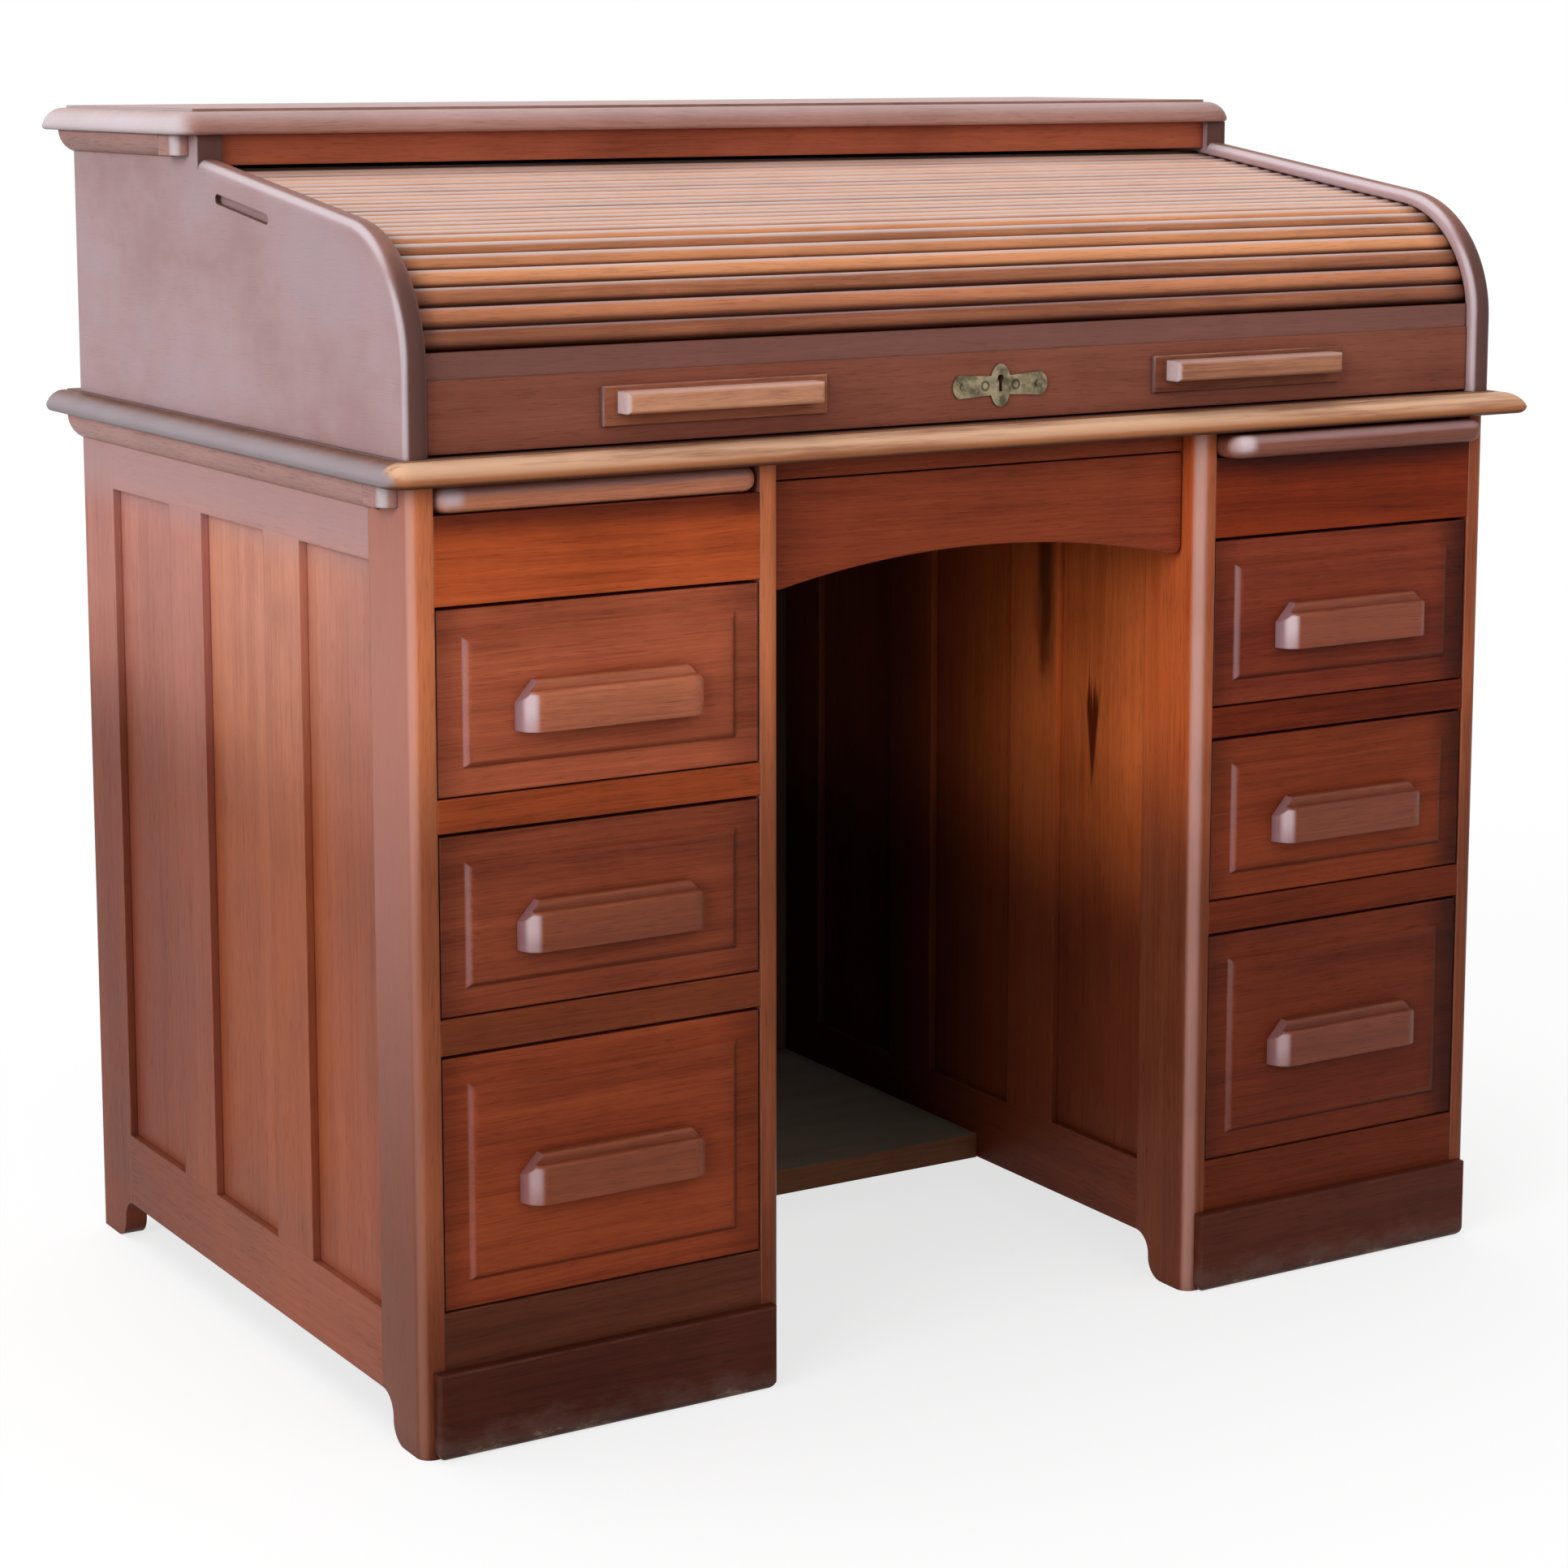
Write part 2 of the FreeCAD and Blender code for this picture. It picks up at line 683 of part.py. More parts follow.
def upper_gable(x0, outer_left):
    mid_y, mid_z = around(roll_y, roll_z, roll_radius, turn / 2)
    edges = [
        line(Vector(x0, upper_gable_front, slab_top), Vector(x0, upper_gable_front, roll_z)),
        arc(Vector(x0, upper_gable_front, roll_z), Vector(x0, mid_y, mid_z), Vector(x0, edge_y, edge_z)),
        line(Vector(x0, edge_y, edge_z), Vector(x0, roll_step, step_z)),
        line(Vector(x0, roll_step, step_z), Vector(x0, roll_step, cornice_bottom)),
        line(Vector(x0, roll_step, cornice_bottom), Vector(x0, upper_gable_back, cornice_bottom)),
        line(Vector(x0, upper_gable_back, cornice_bottom), Vector(x0, upper_gable_back, slab_top)),
        line(Vector(x0, upper_gable_back, slab_top), Vector(x0, upper_gable_front, slab_top)),
    ]
    board = prism(edges, Vector(upper_gable_thickness, 0, 0))
    rim = []
    for edge in board.Edges:
        box = edge.BoundBox
        in_front = box.YMax < roll_step + 0.01 and box.ZMax < step_z + 0.01
        if in_front and box.XLength < 0.01 and box.ZMax > slab_top + 1:
            rim.append(edge)
    board = board.makeFillet(upper_gable_edge, rim)
    inner_x = x0 + upper_gable_thickness if outer_left else x0
    if outer_left:
        return board.cut(groove(inner_x - groove_depth, inner_x))
    return board.cut(groove(inner_x, inner_x + groove_depth))


def gable_slot():
    """A narrow blind slot in the left gable, level with the slope of the roll."""
    y = slot_front
    z = edge_z + (y - edge_y) * math.tan(slope) - slot_drop
    bar = block(-upper_gable_outer, -upper_gable_outer + slot_depth, y, y + slot_length, z, z + slot_height)
    ends = []
    for edge in bar.Edges:
        box = edge.BoundBox
        if box.XLength > 1 and box.YLength < 0.01 and box.ZLength < 0.01:
            ends.append(edge)
    bar = bar.makeFillet(slot_height * 0.49, ends)
    bar.rotate(Vector(0, y, z), Vector(1, 0, 0), math.degrees(slope))
    return bar


save("left_upper_gable", [upper_gable(-upper_gable_outer, True).cut(gable_slot())])
save("right_upper_gable", [upper_gable(upper_inner, False)])

# Case of the roll top
cornice_nose = (cornice_nose_step, cornice_nose_reach, cornice_nose_tip)
cornice_left = -upper_gable_outer - cornice_left_overhang
cornice_right = upper_gable_outer + cornice_right_overhang
save("cornice_board", [nosed_board(cornice_left, cornice_right, cornice_front, cornice_back, cornice_bottom,
                                   cornice_bottom + cornice_thickness, cornice_nose, [-1, 1])])
save("frieze_rail", [block(-upper_inner, upper_inner, frieze_front, frieze_front + frieze_thickness,
                           cornice_bottom - frieze_height, cornice_bottom)])
save("upper_back_panel", [block(-upper_inner, upper_inner, upper_back_front, upper_gable_back,
                                slab_top, cornice_bottom)])
save("inner_back_panel", [block(-upper_inner, upper_inner, inner_back_front,
                                inner_back_front + inner_back_thickness, slab_top, inner_back_top)])

# Pigeonholes
gallery = []
gallery_top = slab_top + gallery_height
gallery.append(block(-upper_inner, upper_inner, gallery_front, inner_back_front,
                     gallery_top - gallery_board, gallery_top))
bay_width = (2 * upper_inner - (gallery_bays + 1) * gallery_board) / gallery_bays
for number in range(gallery_bays + 1):
    gx = -upper_inner + number * (bay_width + gallery_board)
    gallery.append(block(gx, gx + gallery_board, gallery_front, inner_back_front,
                         slab_top, gallery_top - gallery_board))
for number in [0, gallery_bays - 1]:
    gx = -upper_inner + gallery_board + number * (bay_width + gallery_board)
    gallery.append(block(gx, gx + bay_width, gallery_front, inner_back_front,
                         slab_top + gallery_shelf_height, slab_top + gallery_shelf_height + gallery_board))
save("pigeonhole_gallery", gallery)


# Side mouldings
def stop_block(face_x, outward, y_end, z_top):
    """A small block against a gable, rounded at its front, that ends a moulding."""
    half = math.sqrt(0.5)
    z0 = z_top - moulding_block_height
    y_back = y_end + moulding_width + moulding_block_length
    side_x = face_x + outward * moulding_width
    front = Vector(face_x, y_end, z0)
    round_middle = Vector(face_x + outward * moulding_width * half, y_end + moulding_width * (1 - half), z0)
    side = Vector(side_x, y_end + moulding_width, z0)
    edges = [
        arc(front, round_middle, side),
        line(side, Vector(side_x, y_back, z0)),
        line(Vector(side_x, y_back, z0), Vector(face_x, y_back, z0)),
        line(Vector(face_x, y_back, z0), front),
    ]
    return prism(edges, Vector(0, 0, moulding_block_height))


def moulding(face_x, outward, y_end, y_back, z_top, height):
    """A rounded run along a gable, and the stop block in front of it."""
    run_y = y_end + moulding_width + moulding_block_length + moulding_block_gap

    def at(width, drop):
        return Vector(face_x + outward * width, run_y, z_top - drop)

    edges = [
        line(at(0, 0), at(moulding_width, 0)),
        arc(at(moulding_width, 0), at(moulding_belly, height / 2), at(moulding_foot, height)),
        line(at(moulding_foot, height), at(0, height)),
        line(at(0, height), at(0, 0)),
    ]
    return [prism(edges, Vector(0, y_back - run_y, 0)), stop_block(face_x, outward, y_end, z_top)]


mouldings = []
for outward in [-1, 1]:
    mouldings += moulding(outward * body_half, outward, front_y + slab_moulding_set_back, back_y, slab_under,
                          slab_moulding_height)
    mouldings += moulding(outward * upper_gable_outer, outward, roll_step + cornice_moulding_set_back,
                          upper_gable_back, cornice_bottom, cornice_moulding_height)
save("side_mouldings", mouldings)

# Lead rail of the tambour
lead_front = path_front - lead_thickness / 2
lead_back = path_front + lead_thickness / 2
lead_half = upper_inner - lead_end_gap
lead = block(-lead_half, lead_half, lead_front, lead_back, lead_bottom, lead_top)
strip = block(-lead_half, lead_half, lead_front, lead_front + lead_strip_step,
              lead_top - lead_strip, lead_top)
lead = lead.cut(strip)


def keyhole(y0, y1):
    """A round bow over a narrow drop slot."""
    bow_z = plate_middle + keyhole_lift
    bow = Part.makeCylinder(keyhole_bow / 2, y1 - y0, Vector(lock_x, y0, bow_z), Vector(0, 1, 0))
    drop = block(lock_x - keyhole_slot_width / 2, lock_x + keyhole_slot_width / 2, y0, y1,
                 bow_z - keyhole_slot_drop, bow_z)
    return bow.fuse(drop)


screw_places = [lock_x - screw_from_middle, lock_x + screw_from_middle]
plate_front = lead_front - plate_thickness
screws = []
for sx in screw_places:
    head = Part.makeCylinder(screw_head / 2, screw_head_height, Vector(sx, plate_front, plate_middle),
                             Vector(0, -1, 0))
    shank = Part.makeCylinder(screw_shank / 2, screw_length, Vector(sx, plate_front, plate_middle),
                              Vector(0, 1, 0))
    screws.append(head.fuse(shank).removeSplitter())
save("escutcheon_screws", screws)

lead = lead.cut(keyhole(lead_front, lead_back))
for screw in screws:
    lead = lead.cut(screw)
save("tambour_lead_rail", [lead])

# Escutcheon: an upright oval with a flared wing on each side
oval = Part.makeCylinder(plate_oval_width / 2, plate_thickness,
                         Vector(lock_x, plate_front, plate_middle), Vector(0, 1, 0))
tall = FreeCAD.Matrix()
tall.move(Vector(0, 0, -plate_middle))
tall.scale(1, 1, plate_oval_height / plate_oval_width)
tall.move(Vector(0, 0, plate_middle))
oval = oval.transformGeometry(tall)
wings = oval
for way in [-1, 1]:
    tip = Vector(lock_x + way * wing_length, plate_front, plate_middle)
    end_x = lock_x + way * (wing_length - wing_end)
    upper = Vector(end_x, plate_front, plate_middle + wing_tip / 2)
    lower = Vector(end_x, plate_front, plate_middle - wing_tip / 2)
    root_top = Vector(lock_x, plate_front, plate_middle + wing_root / 2)
    root_low = Vector(lock_x, plate_front, plate_middle - wing_root / 2)
    outline = [
        line(root_top, upper),
        arc(upper, tip, lower),
        line(lower, root_low),
        line(root_low, root_top),
    ]
    wings = wings.fuse(prism(outline, Vector(0, plate_thickness, 0)))
escutcheon = wings.removeSplitter().cut(keyhole(plate_front - 1, lead_front + 1))
for screw in screws:
    escutcheon = escutcheon.cut(screw)
save("escutcheon", [escutcheon])

# Lift handles
handles = []
for way in [-1, 1]:
    hx = way * handle_offset
    bar_back = lead_front - handle_plate_thickness
    plate = block(hx - handle_plate_width / 2, hx + handle_plate_width / 2, bar_back, lead_front,
                  handle_plate_bottom, handle_plate_bottom + handle_plate_height)
    rim = [e for e in plate.Edges if e.BoundBox.YMax < bar_back + 0.01]
    plate = plate.makeFillet(handle_plate_round, rim)
    bar_top = handle_plate_bottom + handle_plate_height - handle_bar_drop
    bar_front = bar_back - handle_bar_depth
    bar = block(hx - handle_bar_width / 2, hx + handle_bar_width / 2, bar_front, bar_back,
                bar_top - handle_bar_height, bar_top)
    nose = [e for e in bar.Edges if e.BoundBox.YMax < bar_front + 0.01]
    handles.append(plate.fuse(bar.makeFillet(handle_bar_round, nose)).removeSplitter())
save("lift_handles", handles)

# Lock case with its bolt, and the strike let into the slab
bolt_y = lead_back + lock_case_thickness / 2
bolt_bottom = slab_top + bolt_above_slab
bolt_half = bolt_width / 2
bolt = block(lock_x - bolt_half, lock_x + bolt_half, bolt_y - bolt_thickness / 2,
             bolt_y + bolt_thickness / 2, bolt_bottom, bolt_bottom + bolt_height)
save("lock_bolt", [bolt])
case = block(lock_x - lock_case_width / 2, lock_x + lock_case_width / 2,
             lead_back, lead_back + lock_case_thickness,
             lock_case_bottom, lock_case_bottom + lock_case_height)
bolt_room = block(lock_x - bolt_half - bolt_gap, lock_x + bolt_half + bolt_gap,
                  bolt_y - bolt_thickness / 2 - bolt_gap, bolt_y + bolt_thickness / 2 + bolt_gap,
                  lock_case_bottom, bolt_bottom + bolt_height + bolt_gap)
save("lock_case", [case.cut(bolt_room)])

strike = block(lock_x - strike_width / 2, lock_x + strike_width / 2,
               bolt_y - strike_depth / 2, bolt_y + strike_depth / 2,
               slab_top - strike_thickness, slab_top)
mortise = block(lock_x - bolt_half - 2 * bolt_gap, lock_x + bolt_half + 2 * bolt_gap,
                bolt_y - bolt_thickness / 2 - 2 * bolt_gap, bolt_y + bolt_thickness / 2 + 2 * bolt_gap,
                slab_top - bolt_travel - mortise_spare, slab_top)
save("strike_plate", [strike.cut(mortise)])
slab_nose = (slab_nose_step, slab_nose_reach, slab_nose_tip)
slab = nosed_board(-slab_width / 2, slab_width / 2, -slab_depth / 2, slab_depth / 2, slab_under, slab_top,
                   slab_nose, [-1])
save("writing_top", [slab.cut(strike).cut(mortise)])

# Tambour slats, half round in front and flat behind, on a canvas backing
start_angle = math.asin((lead_top + curtain_gap - roll_z) / path_radius)
curve_length = path_radius * (turn - start_angle)
curtain_run = (curtain_end - slope_y0) / slope_y
slat_count = int((curve_length + curtain_run) / slat_pitch)
slat_half = upper_inner + slat_engage


def path_place(distance):
    """Place and direction on the path, measured from the top of the lead rail."""
    if distance < curve_length:
        angle = start_angle + distance / path_radius
        y, z = around(roll_y, roll_z, path_radius, angle)
        return y, z, math.pi / 2 - angle
    run = distance - curve_length
    return slope_y0 + run * slope_y, slope_z0 + run * slope_z, slope


slats = []
for number in range(slat_count):
    y, z, lean = path_place((number + 0.5) * slat_pitch)

    def at(along, out):
        return Vector(-slat_half, y + along * math.cos(lean) - out * math.sin(lean),
                      z + along * math.sin(lean) + out * math.cos(lean))

    w = slat_width / 2
    back = -slat_thickness / 2
    shoulder = back + slat_shoulder
    outline = [
        line(at(-w, back), at(w, back)),
        line(at(w, back), at(w, shoulder)),
        arc(at(w, shoulder), at(0, slat_thickness / 2), at(-w, shoulder)),
        line(at(-w, shoulder), at(-w, back)),
    ]
    slats.append(prism(outline, Vector(2 * slat_half, 0, 0)))
save("tambour_slats", slats)

canvas_half = upper_inner - canvas_side_gap
canvas_out = -slat_thickness / 2
canvas_in = canvas_out - canvas_thickness
canvas_angle = math.asin((lead_top + curtain_gap - roll_z) / (path_radius + canvas_in))
canvas = band(canvas_in, canvas_out, -canvas_half, canvas_half, canvas_angle, curtain_end)
save("tambour_canvas", [canvas])

# The axis about which the lead rail swings from the slab to its place under the frieze
closed_y = path_front
closed_z = (lead_bottom + lead_top) / 2
open_run = (lead_open_middle - slope_y0) / slope_y
open_y = lead_open_middle
open_z = slope_z0 + open_run * slope_z
chord_y = open_y - closed_y
chord_z = open_z - closed_z
height = 0.5 / math.tan(turn / 2)
axis_y = (closed_y + open_y) / 2 + chord_z * height
axis_z = (closed_z + open_z) / 2 - chord_y * height
print("lead rail axis y and z:", round(axis_y, 3), round(axis_z, 3))
print("lead rail swing in degrees:", round(math.degrees(turn), 3))
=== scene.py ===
import math

import bpy
from mathutils import Matrix, Vector


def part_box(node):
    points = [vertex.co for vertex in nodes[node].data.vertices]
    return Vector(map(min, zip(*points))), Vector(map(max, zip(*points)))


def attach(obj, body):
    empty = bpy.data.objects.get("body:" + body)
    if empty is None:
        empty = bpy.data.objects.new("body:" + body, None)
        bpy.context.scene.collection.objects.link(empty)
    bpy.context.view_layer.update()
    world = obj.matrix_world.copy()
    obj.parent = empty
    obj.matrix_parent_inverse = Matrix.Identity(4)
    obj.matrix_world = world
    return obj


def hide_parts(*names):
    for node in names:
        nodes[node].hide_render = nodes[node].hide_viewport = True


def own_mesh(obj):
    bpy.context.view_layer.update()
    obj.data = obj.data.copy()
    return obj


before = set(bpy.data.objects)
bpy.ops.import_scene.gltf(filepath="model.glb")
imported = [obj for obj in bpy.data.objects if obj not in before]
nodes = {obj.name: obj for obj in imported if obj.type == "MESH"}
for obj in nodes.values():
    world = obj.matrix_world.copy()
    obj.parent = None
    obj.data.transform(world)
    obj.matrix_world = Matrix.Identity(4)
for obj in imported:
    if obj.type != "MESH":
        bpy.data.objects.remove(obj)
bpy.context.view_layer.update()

# Picture: the photograph is square, and the camera is set by its own pixels
picture_side = 1932.0
focal_pixels = 4407.83
middle_pixel = (927.72, 721.27)
camera_place = (-1.6577, -2.6968, 1.0624)
camera_turn = -31.11
camera_tilt = -8.388
camera_roll = 0.089
sensor = 36.0

# Light: an even sky, a broad low window on the left, a soft light overhead and a weak one in front
sky_strength = 0.40
lamps = {
    "window_light": {"source": (-0.90, -0.40, 0.30), "strength": 1.7, "spread": 40.0},
    "top_light": {"source": (-0.10, 0.35, 1.0), "strength": 1.2, "spread": 55.0},
    "fill_light": {"source": (0.25, -0.90, 0.30), "strength": 0.55, "spread": 70.0},
}
floor_colour = 0.32
floor_glow = 0.72
floor_reach = 60.0

# Curtain: the same path as the grooves in the gables, in metres
roll_middle = (-0.225, 0.835)
path_radius = 0.094
slope = math.radians(7.475)
lead_top = 0.8481
slat_pitch = 0.017
slat_width = 0.0164
slat_thickness = 0.008
slat_shoulder = 0.0012
slat_half = 0.5135
slat_end = 0.004
slat_count = 26
slats_on_curve = 7
dome_steps = 10
dome_fullness = 0.8
canvas_half = 0.506
canvas_thickness = 0.0008
canvas_end = 0.444
canvas_step = 0.004
canvas_columns = 24
curtain_crease = math.radians(40)

# How much one slat's tone and grain differ from those of the slat below it
slat_tone_step = 0.618034
slat_grain_step = (0.7, 0.31)

# Boards: how close points are joined, which edges stay sharp, how soft edges look, how far grain is shifted
join_distance = 2e-5
board_crease = math.radians(38)
edge_rounding = 0.002
grain_shift = 4.0

# Gable frames: how far the panels' tongues reach under the frames
panel_tongue = 0.006

# Figure of the wood: waves per metre along a board and across it, or for patches and rubbing in the room
wander_waves = (1.6, 7.0, 7.0)
wander_reach = (0.0, 0.03, 0.03)
ribbon_waves = (0.6, 16.0, 16.0)
streak_waves = (1.6, 70.0, 70.0)
fine_waves = (9.0, 420.0, 420.0)
pore_waves = (45.0, 1100.0, 1100.0)
patch_waves = (9.0, 9.0, 9.0)
rub_waves = (22.0, 22.0, 22.0)

# Limits between which a share of the wood's look goes from none to full
tone_limits = (0.18, 0.82)
pore_limits = (0.58, 0.70)
edge_limits = (0.99, 0.86)
rub_limits = (0.42, 0.62)
rub_open = (0.55, 0.85)
dirt_and_shade_open = (0.75, 0.25)
sky_sheen_full = 0.97
wood_bump = 0.3
wood_bump_depth = 0.0006

# What the figure, pores, and dirt with painted shade in corners do to a wood's tone
dark_grain = (0.48, 0.40, 0.38)
light_grain = (1.42, 1.55, 1.6)
pore_tint = (0.3, 0.25, 0.25)
dirt_and_shade_tint = (0.30, 0.19, 0.16)

# Places of wear, marks, painted shadow and painted highlights, read off the photograph
slab_front = -0.357
slab_nose = (0.024, 0.018)
side_steps = (-0.1345, 0.0645)
side_panels = (0.102, 0.689)
step_edge = 0.001
lead_strip_low = 0.8275
gable_parting = (0.30, 0.40)
knot_point = (-0.181, 0.412)
knot_width = 0.026
knot_height = 0.105
smear_place = (0.210, -0.118, 0.61)
smear_size = (0.03, 0.020, 0.13)
slide_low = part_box("left_writing_slide")[0][2]
handle_plate = 0.004
plate_middle = (0.0065, -0.327, 0.800)
ring_offset = 0.0150
ring_radius = 0.0034


def colour(red, green, blue):
    """A colour written as screen values from 0 to 255."""
    made = []
    for value in (red, green, blue):
        part = value / 255.0
        made.append(part / 12.92 if part <= 0.04045 else ((part + 0.055) / 1.055) ** 2.4)
    return (*made, 1.0)


def tinted(base, tint):
    """A colour with each of its parts made lighter or darker."""
    return (*(min(1.0, part * factor) for part, factor in zip(base, tint)), 1.0)


# Tones of the painted sheen and highlights on the polish
painted_sheen_pink = colour(226, 184, 176)
painted_sheen_mauve = colour(196, 166, 170)
painted_sheen_lilac = colour(218, 206, 212)

# Which way a face must be turned to take the painted sheen or highlight: direction, first and full share
left_faces = ((-1.0, 0.0, 0.0), 0.20, 0.90)
left_turns = ((-0.77, -0.64, 0.0), 0.90, 1.0)
front_turns = ((-0.60, -0.80, 0.0), 0.80, 1.0)
end_highlights = ((-0.62, -0.785, 0.0), 0.91, 1.0)
gable_glints = ((-0.77, -0.62, 0.15), 0.93, 0.995)
gable_crest_highlights = ((-0.70, -0.20, 0.69), 0.90, 0.99)
slide_crest_sheen = ((0.0, -0.77, 0.64), 0.80, 1.0)


# Camera
def set_camera():
    """The photograph's camera, as fitted to the desk's corners."""
    turned = Matrix.Rotation(math.radians(camera_turn), 3, "Z")
    turned = turned @ Matrix.Rotation(math.radians(camera_tilt), 3, "X")
    turned = turned @ Matrix.Rotation(math.radians(camera_roll), 3, "Y")
    right, ahead, above = turned.col[0], turned.col[1], turned.col[2]
    data = bpy.data.cameras.new("camera")
    data.sensor_width = sensor
    data.lens = focal_pixels / picture_side * sensor
    data.shift_x = (picture_side / 2 - middle_pixel[0]) / picture_side
    data.shift_y = (middle_pixel[1] - picture_side / 2) / picture_side
    camera = bpy.data.objects.new("camera", data)
    place = Matrix.Identity(4)
    for row in range(3):
        place[row][0] = right[row]
        place[row][1] = above[row]
        place[row][2] = -ahead[row]
        place[row][3] = camera_place[row]
    camera.matrix_world = place
    bpy.context.scene.collection.objects.link(camera)
    bpy.context.scene.camera = camera


# Helpers that add nodes to a tree
def add(tree, kind, inputs=None, **settings):
    """Adds a node; an input that is a socket is linked, any other is set."""
    made = tree.nodes.new(kind)
    for name, value in settings.items():
        setattr(made, name, value)
    for name, value in (inputs or {}).items():
        if isinstance(value, bpy.types.NodeSocket):
            tree.links.new(value, made.inputs[name])
        else:
            made.inputs[name].default_value = value
    return made


def sums(tree, operation, first, second=0.0, third=0.0):
    """One step of arithmetic on values."""
    made = add(tree, "ShaderNodeMath", {0: first, 1: second, 2: third}, operation=operation)
    return made.outputs[0]


def times(tree, first, *others):
    """The product of all the values."""
    for other in others:
        first = sums(tree, "MULTIPLY", first, other)
    return first


def weighted(tree, start, parts):
    """A start value plus each part times its weight."""
    for part, weight in parts:
        start = sums(tree, "MULTIPLY_ADD", part, weight, start)
    return start


def centred(tree, value):
    """A noise that swings about zero."""
    return sums(tree, "SUBTRACT", value, 0.5)


def vectors(tree, operation, first, second=(0.0, 0.0, 0.0)):
    """One step of arithmetic on vectors."""
    made = add(tree, "ShaderNodeVectorMath", {0: first, 1: second}, operation=operation)
    return made.outputs[0]


def scaled(tree, vector, factor):
    """A vector times a value."""
    inputs = {0: vector, "Scale": factor}
    return add(tree, "ShaderNodeVectorMath", inputs, operation="SCALE").outputs[0]


def apart(tree, vector):
    """The three parts of a vector."""
    return add(tree, "ShaderNodeSeparateXYZ", {0: vector}).outputs


def ranged(tree, value, low, high, to_low=0.0, to_high=1.0):
    """The value from low to high, drawn out smoothly to another range."""
    inputs = {"Value": value, 1: low, 2: high, 3: to_low, 4: to_high}
    return add(tree, "ShaderNodeMapRange", inputs, interpolation_type="SMOOTHSTEP").outputs[0]


def mixed(tree, share, first, second, blend="MIX"):
    """The second colour over the first, as far as the share goes."""
    inputs = {0: share, 6: first, 7: second}
    return add(tree, "ShaderNodeMix", inputs, data_type="RGBA", blend_type=blend).outputs[2]


def multiplied(tree, share, shown, tint):
    """The colour with its parts multiplied by a tint, as far as the share goes."""
    return mixed(tree, share, shown, (*tint, 1.0), "MULTIPLY")


def noise(tree, place, waves, detail=2.0, roughness=0.5):
    """Noise with so many waves per metre along each axis."""
    stretched = vectors(tree, "MULTIPLY", place, waves)
    inputs = {"Vector": stretched, "Scale": 1.0, "Detail": detail, "Roughness": roughness}
    return add(tree, "ShaderNodeTexNoise", inputs).outputs


def away_from(tree, place, middle, size):
    """How far a place is from a middle, measured in sizes of an oval about it."""
    offset = vectors(tree, "DIVIDE", vectors(tree, "SUBTRACT", place, middle), size)
    return add(tree, "ShaderNodeVectorMath", {0: offset}, operation="LENGTH").outputs["Value"]


def facing(tree, turned, way, start, full):
    """From 0 to 1 as a face turns towards a direction; turned holds the parts of its normal."""
    return ranged(tree, weighted(tree, 0.0, zip(turned, way)), start, full)


def occlusion(tree, distance):
    """How open a place is: 1 on an open face, less in corners within the distance."""
    return add(tree, "ShaderNodeAmbientOcclusion", {"Distance": distance}, samples=3).outputs["AO"]


def add_bump(tree, shader, inputs):
    """Gives a shader a relief too fine to model."""
    bump = add(tree, "ShaderNodeBump", inputs)
    tree.links.new(bump.outputs[0], shader.inputs["Normal"])


def empty_tree(holder):
    """The node tree of a new material or world, with nothing in it."""
    holder.use_nodes = True
    holder.node_tree.nodes.clear()
    return holder.node_tree


def new_material(name):
    """A material with one plain shader."""
    made = bpy.data.materials.new(name)
    tree = empty_tree(made)
    shader = tree.nodes.new("ShaderNodeBsdfPrincipled")
    output = tree.nodes.new("ShaderNodeOutputMaterial")
    tree.links.new(shader.outputs[0], output.inputs[0])
    return made, tree, shader


